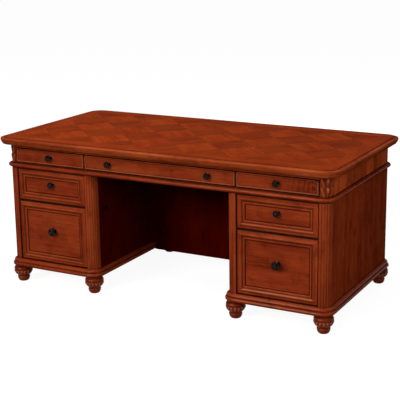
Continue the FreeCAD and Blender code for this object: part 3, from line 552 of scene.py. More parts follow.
def pale_wood(name, tones, axis, across, polish, stain_line=None):
    """A pale, plain wood with a dry finish and little gloss, stained in front of a line if there is one."""
    material, tree, output = new_material(name)
    place = grain_along(tree, axis)
    streaks = figure_layer(tree, place, across, across * 30, 4)
    pores = figure_layer(tree, place, 1.2, 18, 2)
    colour = add_node(tree, "ValToRGB", {"Fac": streaks}, stops=[(0.34, tones[0]), (0.66, tones[1])])
    flecks = ranged(tree, pores, 0.30, 0.46, 0.4, 0.0)
    grained = blend(tree, flecks, colour, linear(tones[0]), "MULTIPLY")
    if stain_line is not None:
        depth = add_node(tree, "SeparateXYZ", {0: object_place(tree)}).outputs["Y"]
        stained = calculate(tree, "LESS_THAN", depth, stain_line)
        grained = blend(tree, stained, grained, linear(SHADE_AND_STAIN_CHERRY[0]))
    soft_edge = add_node(tree, "Bevel", {"Radius": 0.6 * MM}, samples=4)
    relief = add_node(
        tree, "Bump", {"Height": streaks, "Strength": 0.08, "Distance": 0.3 * MM, "Normal": soft_edge}
    )
    dull = ranged(tree, streaks, 0.0, 1.0, polish + 0.06, polish - 0.06)
    wood = {"Base Color": grained, "Roughness": dull, "IOR": WOOD_IOR, "Normal": relief}
    surface = add_node(tree, "BsdfPrincipled", wood)
    tree.links.new(surface.outputs[0], output.inputs[0])
    return material


maple_y = pale_wood("waxed_maple", ("#B98A55", "#D9B584"), "Y", 9, 0.5)
front_edge = case_low.y + STAIN_DEPTH * MM
poplar_x = pale_wood("poplar_frame", ("#8E7448", "#BFA274"), "X", 12, 0.6, front_edge)
print("pale woods", maple_y.name, poplar_x.name)

# %% [markdown]
# The metals are few: bronze knobs and locks whose dark patina is rubbed brighter on the rims, wear that also
# stands as a painted highlight on them, and zinc-plated steel slides and bolts. A metal keeps the default
# IOR.
# Its colour is its reflection, so patina is a change of colour and of roughness together. The knobs also have
# a thin clear coat, which gives them a small highlight on the dark metal.

# %% Bronze and zinc
def metal(name, dark, bright, grain, rough, rubbed, coat=0.0):
    """A metal with a cloudy patina, rubbed brighter on its edges as wear and a painted highlight, and a clear
    coat if asked for.
    """
    material, tree, output = new_material(name)
    place = object_place(tree)
    clouds = add_node(tree, "TexNoise", {"Vector": place, "Scale": 1 / (grain * MM), "Detail": 4.0})
    patina = add_node(tree, "ValToRGB", {"Fac": clouds}, stops=[(0.40, dark), (0.75, bright)])
    # Brighter edges: wear, and on the bronze also a painted highlight.
    edge = add_node(tree, "AmbientOcclusion", {"Distance": 1.5 * MM}, samples=8, inside=True)
    edge_mask = ranged(tree, edge.outputs["AO"], 0.4, 0.9, rubbed, 0.0)
    worn_and_highlit = blend(tree, edge_mask, patina, linear(bright))
    dull = ranged(tree, clouds, 0.0, 1.0, rough - 0.08, rough + 0.12)
    soft_edge = add_node(tree, "Bevel", {"Radius": 0.4 * MM}, samples=6)
    surface = add_node(
        tree,
        "BsdfPrincipled",
        {
            "Base Color": worn_and_highlit,
            "Metallic": 1.0,
            "Roughness": dull,
            "Normal": soft_edge,
            "Coat Weight": coat,
            "Coat Roughness": 0.1,
        },
    )
    tree.links.new(surface.outputs[0], output.inputs[0])
    return material


bronze = metal("aged_bronze", "#050302", "#33231B", 6, 0.16, 0.9, coat=0.08)
lock_bronze = metal("bronze_lock", "#0D0908", "#46382F", 4, 0.24, 0.4)
zinc = metal("zinc_plated_steel", "#8C9096", "#B9BDC2", 9, 0.34, 0.3)
print("metals", bronze.name, lock_bronze.name, zinc.name)

# %% [markdown]
# Each carried-over piece now gets its finish by name. The pieces that are modelled again below take theirs
# there.

# %% Dress the carried-over pieces
finishes = {
    "frieze_top_rail": cherry_top_rail,
    "frieze_back_panel": cherry_x,
    "frieze_end_panels": end_planks,
    "corner_posts": cherry_post,
    "modesty_panel": deep_cherry_z,
    "waist_board": deep_cherry_x,
    "frieze_dividers": poplar_x,
    "frieze_drawer_guides": poplar_x,
    "drawer_cross_rails": poplar_x,
    "slide_cleats": poplar_x,
    "centre_drawer_box": maple_y,
    "lock_barrels": lock_bronze,
    "pedestal_bolts": zinc,
    "slide_cabinet_rails": zinc,
}
side_finishes = {
    "outer_side_panel": side_planks,
    "kneehole_side_panel": deep_cherry_z,
    "back_panel": cherry_z,
    "bottom_board": poplar_x,
    "box_drawer_box": maple_y,
    "file_drawer_box": maple_y,
    "frieze_drawer_box": maple_y,
    "box_drawer_front": panel_finishes["box"],
    "file_drawer_front": panel_finishes["file"],
    "box_slide_drawer_members": zinc,
    "file_slide_drawer_members": zinc,
    "file_slide_middle_members": zinc,
    "lock_plug_and_cam": lock_bronze,
}
for side in ("left", "right"):
    finishes.update({f"{side}_{kind}": finish for kind, finish in side_finishes.items()})
for name, finish in finishes.items():
    nodes[name].data.materials.clear()
    nodes[name].data.materials.append(finish)
print("dressed", len(finishes), "of", len(nodes), "pieces")

# %% [markdown]
# Now the pieces that are modelled again. A few helpers do what a person does by hand in edit mode: draw an
# outline by extruding one vertex from point to point, round a part of it with an arc, extrude what is
# selected, close a mesh, copy a piece, and put the finished piece on its body in place of the plain one.

# %% Modelling helpers
ARC_STEPS = 8
SMOOTH_ANGLE = math.radians(32)
MERGE = 0.002 * MM


def traced(rows):
    """Outline points in metres from rows of millimetres; a row with a radius and a side starts an arc."""
    points = []
    for here, there in zip(rows, rows[1:] + rows[:1]):
        start = Vector(here[:2]) * MM
        half = (Vector(there[:2]) * MM - start) / 2
        points.append(start)
        if len(here) > 2:
            radius, side = here[2] * MM, here[3]
            across = Vector((-half.y, half.x)).normalized() * side
            centre = start + half + across * math.sqrt(radius**2 - half.length_squared)
            sweep = 2 * math.asin(half.length / radius) * side
            for step in range(1, ARC_STEPS):
                points.append(centre + Matrix.Rotation(sweep * step / ARC_STEPS, 2) @ (start - centre))
    return points


def draw_outline(name, points, closed):
    """A new piece in edit mode: one vertex, extruded along the points of an outline."""
    bpy.ops.object.select_all(action="DESELECT")
    bpy.ops.mesh.primitive_plane_add(size=MM)
    piece = bpy.context.object
    piece.name = name
    bpy.ops.object.mode_set(mode="EDIT")
    bpy.ops.mesh.merge(type="CENTER")
    bpy.ops.transform.translate(value=points[0])
    for start, end in zip(points, points[1:] + points[:1] if closed else points[1:]):
        bpy.ops.mesh.extrude_vertices_move(TRANSFORM_OT_translate={"value": end - start})
    bpy.ops.mesh.select_all(action="SELECT")
    bpy.ops.mesh.remove_doubles(threshold=MERGE)
    return piece


def extrude(move):
    """Extrudes what is selected and moves it."""
    bpy.ops.mesh.extrude_region_move(TRANSFORM_OT_translate={"value": move})


def close_mesh():
    """Merges doubles, turns the faces outwards, and goes back to object mode with soft shading."""
    bpy.ops.mesh.select_all(action="SELECT")
    bpy.ops.mesh.remove_doubles(threshold=MERGE)
    bpy.ops.mesh.normals_make_consistent(inside=False)
    bpy.ops.object.mode_set(mode="OBJECT")
    bpy.ops.object.transform_apply(location=True, rotation=True, scale=True)
    bpy.ops.object.shade_smooth_by_angle(angle=SMOOTH_ANGLE)


def copy_piece(piece, name, place):
    """A copy with its own mesh, moved by a matrix that is written into the mesh."""
    twin = piece.copy()
    twin.data = piece.data.copy()
    twin.name = name
    twin.data.transform(place)
    bpy.context.collection.objects.link(twin)
    return twin


def settle(piece, finish, slot, body, *replaced):
    """Gives a finished piece its finish and puts it on its body, in place of the plain nodes."""
    piece.data.materials.clear()
    piece.data.materials.append(finish)
    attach(piece, body)
    if replaced:
        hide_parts(*replaced)
    print(piece.name, len(piece.data.polygons), "faces")


# %% [markdown]
# A moulding is one outline carried round the desk. By hand it is drawn once, extruded along the front, spun
# through a quarter turn at the rounded corner, extruded along the side, and so on until it meets its own
# start. The outline is a list of an inset from the nose and a rise from the bottom, in millimetres. From
# below, the top's edge has a hollow, a small step, a long slope that leans out as it climbs, and a tight
# round nose near the top.

# %% Mouldings round the top, the waist and the bases
CORNER_STEPS = 14
TOP_EDGE = [
    (60, 0), (44, 0), (44, 1.5, 24, 1), (14, 8), (11, 9, 60, -1), (0.7, 31, 4.5, -1), (3.2, 37.5),
    (20, 39), (60, 39),
]
WAIST = [
    (36, 0), (24, 0), (24, 5.5), (9, 6, 9.2, -1), (0, 15, 9.2, -1), (9, 24), (24, 24), (24, 27), (36, 27),
]
BASE = [
    (58, 0), (6, 0, 9.5, -1), (6, 17), (9.5, 18), (9.5, 23), (7.5, 24, 11, -1), (17, 35), (18, 36),
    (58, 36),
]
WAIST_CORNER, BASE_CORNER = 56, 62
# The four runs along the sides, and after each the corner that it is spun round, as signs of X and Y.
RUNS = ((1, 0, 1, -1), (0, 1, 1, 1), (-1, 0, -1, 1), (0, -1, -1, -1))


def moulded_ring(name, rows, half, corner, low, middle_x=0.0):
    """A moulding carried once round a rectangle with rounded corners."""
    run = Vector((half[0] - corner * MM, half[1] - corner * MM))
    outline = [Vector((middle_x - run.x, inset - half[1], low + rise)) for inset, rise in traced(rows)]
    piece = draw_outline(name, outline, closed=True)
    for along_x, along_y, corner_x, corner_y in RUNS:
        extrude(Vector((2 * run.x * along_x, 2 * run.y * along_y, 0)))
        bpy.ops.mesh.spin(
            steps=CORNER_STEPS,
            angle=-math.pi / 2,
            center=(middle_x + run.x * corner_x, run.y * corner_y, 0),
            axis=(0, 0, 1),
        )
    close_mesh()
    return piece


top_edge = moulded_ring("top_edge", TOP_EDGE, top_half, TOP_CORNER, top_low.z)
settle(top_edge, cherry_edge, "cherry_solid", "desk", "top_edge_moulding")
waist = moulded_ring("waist_half_round", WAIST, waist_half, WAIST_CORNER, waist_low.z)
settle(waist, cherry_waist, "cherry_solid", "desk", "waist_moulding")
for side, sign in (("left", -1), ("right", 1)):
    base = moulded_ring(f"{side}_base", BASE, base_half, BASE_CORNER, base_low.z, sign * pedestal_x)
    settle(base, cherry_base, "cherry_solid", "desk", "base_moulding")

# %% [markdown]
# The veneered top is a board that lies in the rebate of the edge moulding. A plane of its size has its four
# corners rounded by a bevel of the vertices, then it is extruded down by the rebate, inset under the
# moulding and extruded down again to the full thickness.

# %% The veneered top
REBATE = 3
UNDER_EDGE = 42
half_x, half_y = (reach - QUIRK * MM for reach in top_half)
bpy.ops.object.select_all(action="DESELECT")
bpy.ops.mesh.primitive_plane_add(size=2, location=(0, 0, top_high.z))
veneered_top = bpy.context.object
veneered_top.name = "veneered_top"
veneered_top.scale = (half_x, half_y, 1)
bpy.ops.object.transform_apply(location=True, rotation=True, scale=True)
bpy.ops.object.mode_set(mode="EDIT")
bpy.ops.mesh.bevel(offset=(TOP_CORNER - QUIRK) * MM, segments=CORNER_STEPS, affect="VERTICES")
bpy.ops.mesh.select_all(action="SELECT")
extrude((0, 0, -REBATE * MM))
bpy.ops.mesh.inset(thickness=UNDER_EDGE * MM)
extrude((0, 0, top_low.z - top_high.z + REBATE * MM))
close_mesh()
settle(veneered_top, parquet, "cherry_parquet", "desk", "top_panel")

# %% [markdown]
# The feet are turned on a lathe and then carved. Half the outline is drawn once and spun round the foot's
# axis. The carver cuts a band of lobes round the bulb: every point in the band is moved towards the axis
# between the lobes, by a cosine folded at zero, which gives round lobes and sharp valleys. The valleys
# deepen slowly from the bottom of the band and end quickly at its top.

# %% Turned and carved feet
FOOT = [
    (0, 0), (22, 0), (23.5, 1.2, 26, 1), (31, 19, 4.5, 1), (28, 26), (26, 27), (26, 28.5), (27, 29.5, 34, 1),
    (44.5, 47, 14, 1), (46.5, 61), (45, 62), (45, 63), (46.5, 64, 14, 1), (42, 78), (36, 80), (36, 90),
    (0, 90),
]
LOBES = 16
LOBE_STEPS = 12
LOBE_LOW, LOBE_HIGH, LOBE_DEPTH = 34, 61, 6.0
VALLEY_SHARP, VALLEY_RISE, VALLEY_END = 0.6, 1.3, 0.10
# The carving number of the plain turning below the top of the band, and of the collar above it, whose low
# number paints shade under the base.
PLAIN_TURNING, COLLAR_SHADE = 0.6, 0.16
# What a lobe gains in that number up the band, a painted highlight, and what a valley loses, painted shade.
LOBE_HIGHLIGHT_GAIN, VALLEY_SHADE_LOSS = 0.4, 0.9


def turned_piece(name, rows, steps, upright=True):
    """Half an outline, spun round Z, or round Y for a piece that stands out to the front."""
    if upright:
        outline = [Vector((radius, 0, rise)) for radius, rise in traced(rows)]
    else:
        outline = [Vector((radius, -rise, 0)) for radius, rise in traced(rows)]
    piece = draw_outline(name, outline, closed=False)
    axis = (0, 0, 1) if upright else (0, 1, 0)
    bpy.ops.mesh.spin(steps=steps, angle=math.tau, center=(0, 0, 0), axis=axis)
    close_mesh()
    return piece


foot = turned_piece("front_left_outer_foot", FOOT, LOBES * LOBE_STEPS)
carving = foot.data.color_attributes.new("carving", "FLOAT_COLOR", "POINT")
for vertex in foot.data.vertices:
    rise = vertex.co.z / MM
    band = (rise - LOBE_LOW) / (LOBE_HIGH - LOBE_LOW)
    height = PLAIN_TURNING if rise < LOBE_HIGH else COLLAR_SHADE
    if 0 < band < 1:
        angle = math.atan2(vertex.co.y, vertex.co.x)
        deep = min(VALLEY_RISE * band, (1 - band) / VALLEY_END, 1)
        valley = (1 - abs(math.cos(angle * LOBES / 2)) ** VALLEY_SHARP) * deep
        reach = math.hypot(vertex.co.x, vertex.co.y)
        vertex.co.x *= 1 - LOBE_DEPTH * MM * valley / reach
        vertex.co.y *= 1 - LOBE_DEPTH * MM * valley / reach
        height = PLAIN_TURNING + LOBE_HIGHLIGHT_GAIN * band - VALLEY_SHADE_LOSS * valley
    carving.data[vertex.index].color = (height, height, height, 1)
print("foot carved with", LOBES, "lobes")

# %% [markdown]
# One foot was made, and all that the desk stands on are copies of it: two under the front and two under the
# back of each pedestal.

# %% Stand a foot under every post
_, feet_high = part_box("turned_feet")
BULB = 47
outer_x = feet_high.x - BULB * MM
inner_x = 2 * pedestal_x - outer_x
foot_y = feet_high.y - BULB * MM
for row, sign_y in (("front", -1), ("back", 1)):
    for side, sign_x in (("left", -1), ("right", 1)):
        for place, foot_x in (("outer", outer_x), ("inner", inner_x)):
            move = Matrix.Translation((sign_x * foot_x, sign_y * foot_y, 0))
            standing = copy_piece(foot, f"{row}_{side}_{place}_turned_foot", move)
            settle(standing, cherry_carved, "cherry_solid", "desk", "turned_feet")
bpy.data.objects.remove(foot)

# %% [markdown]
# The corner blocks of the frieze are carved with two tiers of leaves. In each tier a raised tear stands on
# the corner, wide at the top and running out below, and a ridged leaf leans away on each side of it. A
# carver sets in the outline of each leaf, rounds its edge over and leaves the ridge standing. The same is
# done here to a fine grid that is wrapped round the rounded corner: each point is pushed out by the highest
# leaf over it.

# %% The height of a carved leaf
CORNER_RADIUS = 40
BLOCK_ARM = 8
CARVED_GROUND = 5
LEAF_EDGE = 0.28
LEAF_TOP = 6.0
# Where a leaf begins to close at its top and over what length, as shares of its height, and a tear likewise.
LEAF_TIP, LEAF_CLOSE = 0.78, 0.22
TEAR_TIP, TEAR_CLOSE = 0.60, 0.40
# Heights in millimetres: a tear's at its foot and how much it gains, a leaf's own and its ridge's.
TEAR_FOOT, TEAR_GAIN = 1.5, 6.2
LEAF_BODY, LEAF_RIDGE, RIDGE_WIDTH = 2.0, 3.6, 0.42
# Shares: how a tear widens on its way up, a leaf's width at its foot, the height where it is widest, and
# how much of the ridge stands at the foot.
TEAR_SWELL, LEAF_NARROW, LEAF_WIDEST, RIDGE_LOW = 0.8, 0.62, 0.6, 0.55


def leaf_height(across, up, tear):
    """Height in millimetres of a leaf, or of the tear, from -1 to 1 across it and 0 to 1 up it."""
    if not 0 < up < 1:
        return 0.0
    closing = math.sqrt(max(1 - (max(up - LEAF_TIP, 0) / LEAF_CLOSE) ** 2, 0))
    if tear:
        swell = up**TEAR_SWELL
    else:
        swell = LEAF_NARROW + (1 - LEAF_NARROW) * math.sin(math.pi / 2 * min(up / LEAF_WIDEST, 1))
    reach = swell * closing
    edge = min(max((reach - abs(across)) / LEAF_EDGE, 0), 1)
    if tear:
        bulb = math.sqrt(1 - (max(up - TEAR_TIP, 0) / TEAR_CLOSE) ** 2)
        return math.sin(edge * math.pi / 2) * (TEAR_FOOT + TEAR_GAIN * up) * bulb
    ridge = LEAF_RIDGE * math.exp(-((across / RIDGE_WIDTH) ** 2)) * (RIDGE_LOW + (1 - RIDGE_LOW) * up)
    return math.sin(edge * math.pi / 2) * (LEAF_BODY + ridge)


print("leaf", round(leaf_height(0.0, 0.8, False), 2), "mm, tear", round(leaf_height(0.0, 0.8, True), 2), "mm")

# %% [markdown]
# A leaf is a place of its foot and of its tip along the corner's run, half its width, and the two heights of
# its tier. The block is a grid as long as the corner's run, bent round the corner as its points are placed,
# and its rim is extruded back to the inner corner so that the block is closed.

# %% The carved block
BLOCK_COLUMNS, BLOCK_ROWS = 96, 100
EDGE_FADE = 3
arc_run = math.pi / 2 * CORNER_RADIUS
block_run = arc_run + 2 * BLOCK_ARM
block_height = (frieze_high.z - frieze_low.z) / MM
TIERS = ((0.0, 45.0), (42.0, 88.0))
# In millimetres: half a tear's width and half a leaf's, and how far a leaf's foot and tip lie off the corner.
TEAR_HALF, LEAF_HALF = 9.5, 8.5
LEAF_FOOT, LEAF_LEAN = 19, 31
LEAVES = []
for low, high in TIERS:
    LEAVES.append((0, 0, TEAR_HALF, low, high, True))
    for sign in (-1, 1):
        LEAVES.append((sign * LEAF_FOOT, sign * LEAF_LEAN, LEAF_HALF, low, high, False))


def carved_relief(run, rise):
    """The highest leaf over a place on the block, fading out at the block's two upright edges."""
    fade = min((block_run / 2 - abs(run)) / EDGE_FADE, 1)
    heights = []
    for base, tip, half, low, high, tear in LEAVES:
        up = (rise - low) / (high - low)
        heights.append(leaf_height((run - base - (tip - base) * up) / half, up, tear))
    return max(heights) * max(fade, 0)


def block_point(run, rise):
    """A place on the front of the block, from the centre of the corner's arc, in millimetres."""
    out = CORNER_RADIUS - CARVED_GROUND + carved_relief(run, rise)
    turn = max(min(run, arc_run / 2), -arc_run / 2) / CORNER_RADIUS
    past = run - turn * CORNER_RADIUS
    direction = Vector((math.sin(turn), -math.cos(turn)))
    along = Vector((math.cos(turn), math.sin(turn)))
    place = direction * out + along * past
    turned = Matrix.Rotation(math.pi / 4, 2) @ place
    return Vector((turned.x, turned.y, rise))


bpy.ops.object.select_all(action="DESELECT")
bpy.ops.mesh.primitive_grid_add(x_subdivisions=BLOCK_COLUMNS, y_subdivisions=BLOCK_ROWS, size=2)
block = bpy.context.object
block.name = "carved_block"
carving = block.data.color_attributes.new("carving", "FLOAT_COLOR", "POINT")
for vertex in block.data.vertices:
    run, rise = vertex.co.x * block_run / 2, (vertex.co.y + 1) / 2 * block_height
    vertex.co = block_point(run, rise) * MM
    height = carved_relief(run, rise) / LEAF_TOP
    carving.data[vertex.index].color = (height, height, height, 1)
bpy.ops.object.mode_set(mode="EDIT")
bpy.ops.mesh.select_all(action="SELECT")
bpy.ops.mesh.region_to_loop()
bpy.ops.mesh.extrude_edges_move(TRANSFORM_OT_translate={"value": (0, 0, 0)})
inner_corner = -BLOCK_ARM * MM
bpy.ops.object.mode_set(mode="OBJECT")
for vertex in block.data.vertices:
    if vertex.select:
        vertex.co.x = inner_corner
        vertex.co.y = -inner_corner
bpy.ops.object.mode_set(mode="EDIT")
close_mesh()
print("carved block", len(block.data.polygons), "faces")

# %% [markdown]
# The block was made for the front right corner. All four corners get a copy of it, and each copy is turned
# a quarter further than the one before.

# %% Set a block on every corner of the frieze
corner_x = case_high.x - CORNER_RADIUS * MM
corner_y = case_high.y - CORNER_RADIUS * MM
corners = (("front_right", 1, -1), ("back_right", 1, 1), ("back_left", -1, 1), ("front_left", -1, -1))
for quarter, (corner, sign_x, sign_y) in enumerate(corners):
    turn = Matrix.Rotation(quarter * math.pi / 2, 4, "Z")
    place = Matrix.Translation((sign_x * corner_x, sign_y * corner_y, frieze_low.z)) @ turn
    carved = copy_piece(block, f"{corner}_carved_block", place)
    settle(carved, cherry_carved, "cherry_solid", "desk", "carved_corner_blocks")
bpy.data.objects.remove(block)

# %% [markdown]
# The box and file drawers carry a frame moulding on their fronts. In the workshop it is run as one long
# strip and cut at 45 degrees. Here its outline is drawn in the mitre of a small square frame and spun in
# four steps, which gives four straight sides with true mitres, and then each half of the frame is moved out
# to the drawer's size. From the outside inwards it has a low band, a hollow that climbs to a ridge, a steep
# slope that falls towards the panel, a groove and a small bead. The slope catches the light on the bottom
# rail and lies in shade on the top rail.

# %% Mitred drawer frames
FRAME = [
    (0, 0), (0, 2.4, 1.8, -1), (1.6, 4), (6, 4, 30, 1), (15.5, 9.2, 2.2, -1), (17, 10), (18.8, 10, 1.6, -1),
    (20, 9.4), (25, 4), (25.8, 2.4), (28.6, 2.4), (29.2, 3.6, 2.6, -1), (31.6, 5), (34, 5, 4.2, -1),
    (38, 2.4), (38, 0),
]
SMALL_FRAME = 60


def move_half(piece, axis, sign, distance):
    """Moves the vertices on one side of the middle outwards."""
    bpy.ops.object.mode_set(mode="EDIT")
    bpy.ops.mesh.select_all(action="DESELECT")
    bpy.ops.object.mode_set(mode="OBJECT")
    for vertex in piece.data.vertices:
        vertex.select = vertex.co[axis] * sign > 0
    bpy.ops.object.mode_set(mode="EDIT")
    move = Vector((0, 0, 0))
    move[axis] = sign * distance
    bpy.ops.transform.translate(value=move)
    bpy.ops.object.mode_set(mode="OBJECT")


def mitred_frame(name, node, body, finish):
    """One outline, spun in four steps into a small square frame and then drawn out to the drawer's size."""
    low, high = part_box(node)
    middle = (low + high) / 2
    small = SMALL_FRAME * MM
    outline = [Vector((small - inset, high.y - rise, small - inset)) for inset, rise in traced(FRAME)]
    piece = draw_outline(name, outline, closed=True)
    bpy.ops.mesh.spin(steps=4, angle=math.tau, center=(0, 0, 0), axis=(0, 1, 0))
    close_mesh()
    for axis, reach in ((0, high.x - middle.x), (2, high.z - middle.z)):
        for sign in (-1, 1):
            move_half(piece, axis, sign, reach - FRAME_EASE * MM - small)
    piece.data.transform(Matrix.Translation((middle.x, 0, middle.z)))
    settle(piece, finish, "cherry_solid", body, node)


for side in ("left", "right"):
    for kind in ("box", "file"):
        body = f"{side}_{kind}_drawer"
        mitred_frame(f"{body}_moulded_frame", f"{body}_frame", body, frame_finishes[kind])

# %% [markdown]
# The knobs are turned bronze: a thin back plate, a waist and a rim round a shallow dome with a raised ring.
# One outline serves both sizes, because its rows are shares of the knob's radius. The swell makes the knobs
# as large as they look in the picture.

# %% Bronze knobs
KNOB_STEPS = 64
KNOB_SWELL = 1.17
KNOB = [
    (0.00, 0.00), (0.82, 0.00), (0.82, 0.07), (0.74, 0.12), (0.46, 0.20, 0.62, -1), (0.60, 0.72),
    (0.94, 0.84, 0.16, 1), (0.90, 1.06), (0.76, 1.08), (0.72, 1.02), (0.64, 1.02), (0.58, 1.12, 0.10, 1),
    (0.46, 1.14), (0.42, 1.10), (0.40, 1.12, 0.70, 1), (0.08, 1.28), (0.00, 1.29),
]


def bronze_knob(name, node, body, radius, place):
    """A knob of a given radius in metres, with the middle of its back plate at a place."""
    rows = [tuple(share * KNOB_SWELL * radius / MM for share in row[:3]) + row[3:] for row in KNOB]
    knob = turned_piece(name, rows, KNOB_STEPS, upright=False)
    knob.data.transform(Matrix.Translation(place))
    settle(knob, bronze, "aged_bronze", body, node)


for kind in ("frieze", "box", "file"):
    for side in ("left", "right"):
        body = f"{side}_{kind}_drawer"
        node = f"{body}_knob"
        low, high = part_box(node)
        place = ((low.x + high.x) / 2, high.y, (low.z + high.z) / 2)
        bronze_knob(f"{node}_turned", node, body, (high.z - low.z) / 2, place)
low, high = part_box("centre_drawer_knobs")
knob_radius = (high.z - low.z) / 2
for side, x in (("left", low.x + knob_radius), ("right", high.x - knob_radius)):
    name = f"centre_drawer_{side}_knob"
    place = (x, high.y, (low.z + high.z) / 2)
    bronze_knob(name, "centre_drawer_knobs", "centre_drawer", knob_radius, place)

# %% [markdown]
# The drawers of the frieze have a small bead round their fronts. A painted highlight lightens the bead at the
# bottom and the sides, and not along the top, where the overhanging top shades it.

# %% Cherry for the beaded fronts
BEAD, FRONT_EASE = 6, 2.6
BEAD_HIGHLIGHT = "#B0603E"
# How much lighter the painted highlight makes the bead, and over how many millimetres.
BEAD_HIGHLIGHT_SHARE, BEAD_BLUR = 0.42, 0.5


def highlighted_bead(tree, colour, node):
    """The colour of a front, with a painted highlight on the bead round its edge, but not on the bead along
    its top.
    """
    low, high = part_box(node)
    half = ((high.x - low.x) / 2, (high.z - low.z) / 2)
    middle = (abs(high.x + low.x) / 2, (high.z + low.z) / 2)
    nearest = calculate(tree, "MAXIMUM", *edge_gaps(tree, "Z", half, middle))
    inner = -(FRONT_EASE + BEAD) * MM
    # A painted highlight on the bead.
    bead_highlight = ranged(tree, nearest, inner, inner + BEAD_BLUR * MM, 0.0, BEAD_HIGHLIGHT_SHARE)
    rise = add_node(tree, "SeparateXYZ", {0: object_place(tree)}).outputs["Z"]
    below = calculate(tree, "LESS_THAN", rise, high.z + inner)
    share = calculate(tree, "MULTIPLY", bead_highlight, below)
    return blend(tree, share, colour, linear(BEAD_HIGHLIGHT))


def beaded_cherry(name, node):
    """Flat veneer with straight grain, and a painted highlight on the bead round it."""
    material, tree, output = new_material(name)
    colour, figure = cherry_wood(tree, grain_along(tree, "X"))
    lacquer(tree, output, highlighted_bead(tree, colour, node), figure)
    return material


left_front = beaded_cherry("cherry_left_front", "left_frieze_drawer_front")
centre_front = beaded_cherry("cherry_centre_front", "centre_drawer_front")
print("beaded finishes", left_front.name, centre_front.name)

# %% [markdown]
# The right drawer of the frieze was veneered from wood below a fork of the tree, so its right end shows a
# flame: dark arcs, one inside the other, that fade out to the left. A length from a point at that end gives
# the arcs, and a little noise keeps them from being perfect rings.

# %% Crotch veneer
FLAME_DARK = "#2E0803"
# In millimetres: from one arc to the next, how far an arc may stray, and the size of the noise that moves it.
FLAME_STEP, FLAME_STRAY, STRAY_SIZE = 22, 40, 55
# The heart of the flame from the front's right end and its bottom, and where the arcs fade, in millimetres.
HEART_INSET, HEART_RISE = 10, 48
FADE_START, FADE_END = 20, 170
flame_low, flame_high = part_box("right_frieze_drawer_front")
heart = Vector((flame_high.x - HEART_INSET * MM, 0, flame_low.z + HEART_RISE * MM))
cherry_crotch, tree, output = new_material("cherry_crotch_veneer")
colour, figure = cherry_wood(tree, grain_along(tree, "X"))
place = object_place(tree)
noise = add_node(tree, "TexNoise", {"Vector": place, "Scale": 1 / (STRAY_SIZE * MM), "Detail": 3.0})
stray = {0: noise.outputs["Color"], 1: (FLAME_STRAY * MM, 0, FLAME_STRAY * MM), 2: place}
strayed = add_node(tree, "VectorMath", stray, operation="MULTIPLY_ADD")
off = add_node(tree, "VectorMath", {0: strayed, 1: heart}, operation="SUBTRACT")
on_face = add_node(tree, "VectorMath", {0: off, 1: (1, 0, 1)}, operation="MULTIPLY")
far = add_node(tree, "VectorMath", {0: on_face}, operation="LENGTH").outputs["Value"]
rings = calculate(tree, "MULTIPLY", far, math.tau / (FLAME_STEP * MM))
wave = calculate(tree, "SINE", rings)
near = ranged(tree, far, FADE_START * MM, FADE_END * MM, 1.0, 0.0)
arcs = ranged(tree, wave, -0.6, 1.0, 0.28, 0.72)
strength = calculate(tree, "MULTIPLY", arcs, near)
flamed = blend(tree, strength, colour, linear(FLAME_DARK))
beaded = highlighted_bead(tree, flamed, "right_frieze_drawer_front")
lacquer(tree, output, beaded, figure)
print("flame from", [round(value, 3) for value in heart])

# %% [markdown]
# The frieze drawers have flat fronts with a small bead left standing round the edge. A cube of the front's
# size has its front face inset by the width of the bead and sunk, a fine groove is left beside the bead, and
# the bead's own edges are bevelled until it is round.

# %% Beaded drawer fronts of the frieze
BEAD_RELIEF, BEAD_GROOVE, BEAD_ROUND = 2, 2.0, 2.2
FACES_FRONT = -0.9


def select_faces_near(piece, y, reach):
    """Selects the faces that look to the front and lie on a plane of constant y."""
    bpy.ops.mesh.select_all(action="DESELECT")
    bpy.ops.object.mode_set(mode="OBJECT")
    for face in piece.data.polygons:
        face.select = abs(face.center.y - y) < reach and face.normal.y < FACES_FRONT
    bpy.ops.object.mode_set(mode="EDIT")


def beaded_front(name, node, body, finish):
    """A flat drawer front with a round bead standing round its face."""
    low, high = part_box(node)
    bpy.ops.object.select_all(action="DESELECT")
    ease = Vector((FRONT_EASE, 0, FRONT_EASE)) * 2 * MM
    bpy.ops.mesh.primitive_cube_add(size=1, location=(low + high) / 2, scale=high - low - ease)
    front = bpy.context.object
    front.name = name
    bpy.ops.object.transform_apply(location=True, rotation=True, scale=True)
    bpy.ops.object.mode_set(mode="EDIT")
    select_faces_near(front, low.y, MERGE)
    bpy.ops.mesh.inset(thickness=BEAD * MM)
    extrude((0, (BEAD_RELIEF + BEAD_GROOVE) * MM, 0))
    bpy.ops.mesh.inset(thickness=BEAD_GROOVE * MM)
    extrude((0, -BEAD_GROOVE * MM, 0))
    bpy.ops.mesh.select_all(action="DESELECT")
    bpy.ops.mesh.select_mode(type="EDGE")
    bpy.ops.object.mode_set(mode="OBJECT")
    for edge in front.data.edges:
        first, second = (front.data.vertices[corner].co for corner in edge.vertices)
        straight = abs(first.x - second.x) < MERGE or abs(first.z - second.z) < MERGE
        edge.select = straight and max(first.y, second.y) < low.y + MERGE
    bpy.ops.object.mode_set(mode="EDIT")
    bpy.ops.mesh.bevel(offset=BEAD_ROUND * MM, segments=4, affect="EDGES")
    bpy.ops.mesh.select_mode(type="VERT")
    close_mesh()
    settle(front, finish, "cherry_veneer", body, node)


beaded_front("left_frieze_front", "left_frieze_drawer_front", "left_frieze_drawer", left_front)
beaded_front("centre_frieze_front", "centre_drawer_front", "centre_drawer", centre_front)
beaded_front("right_frieze_front", "right_frieze_drawer_front", "right_frieze_drawer", cherry_crotch)

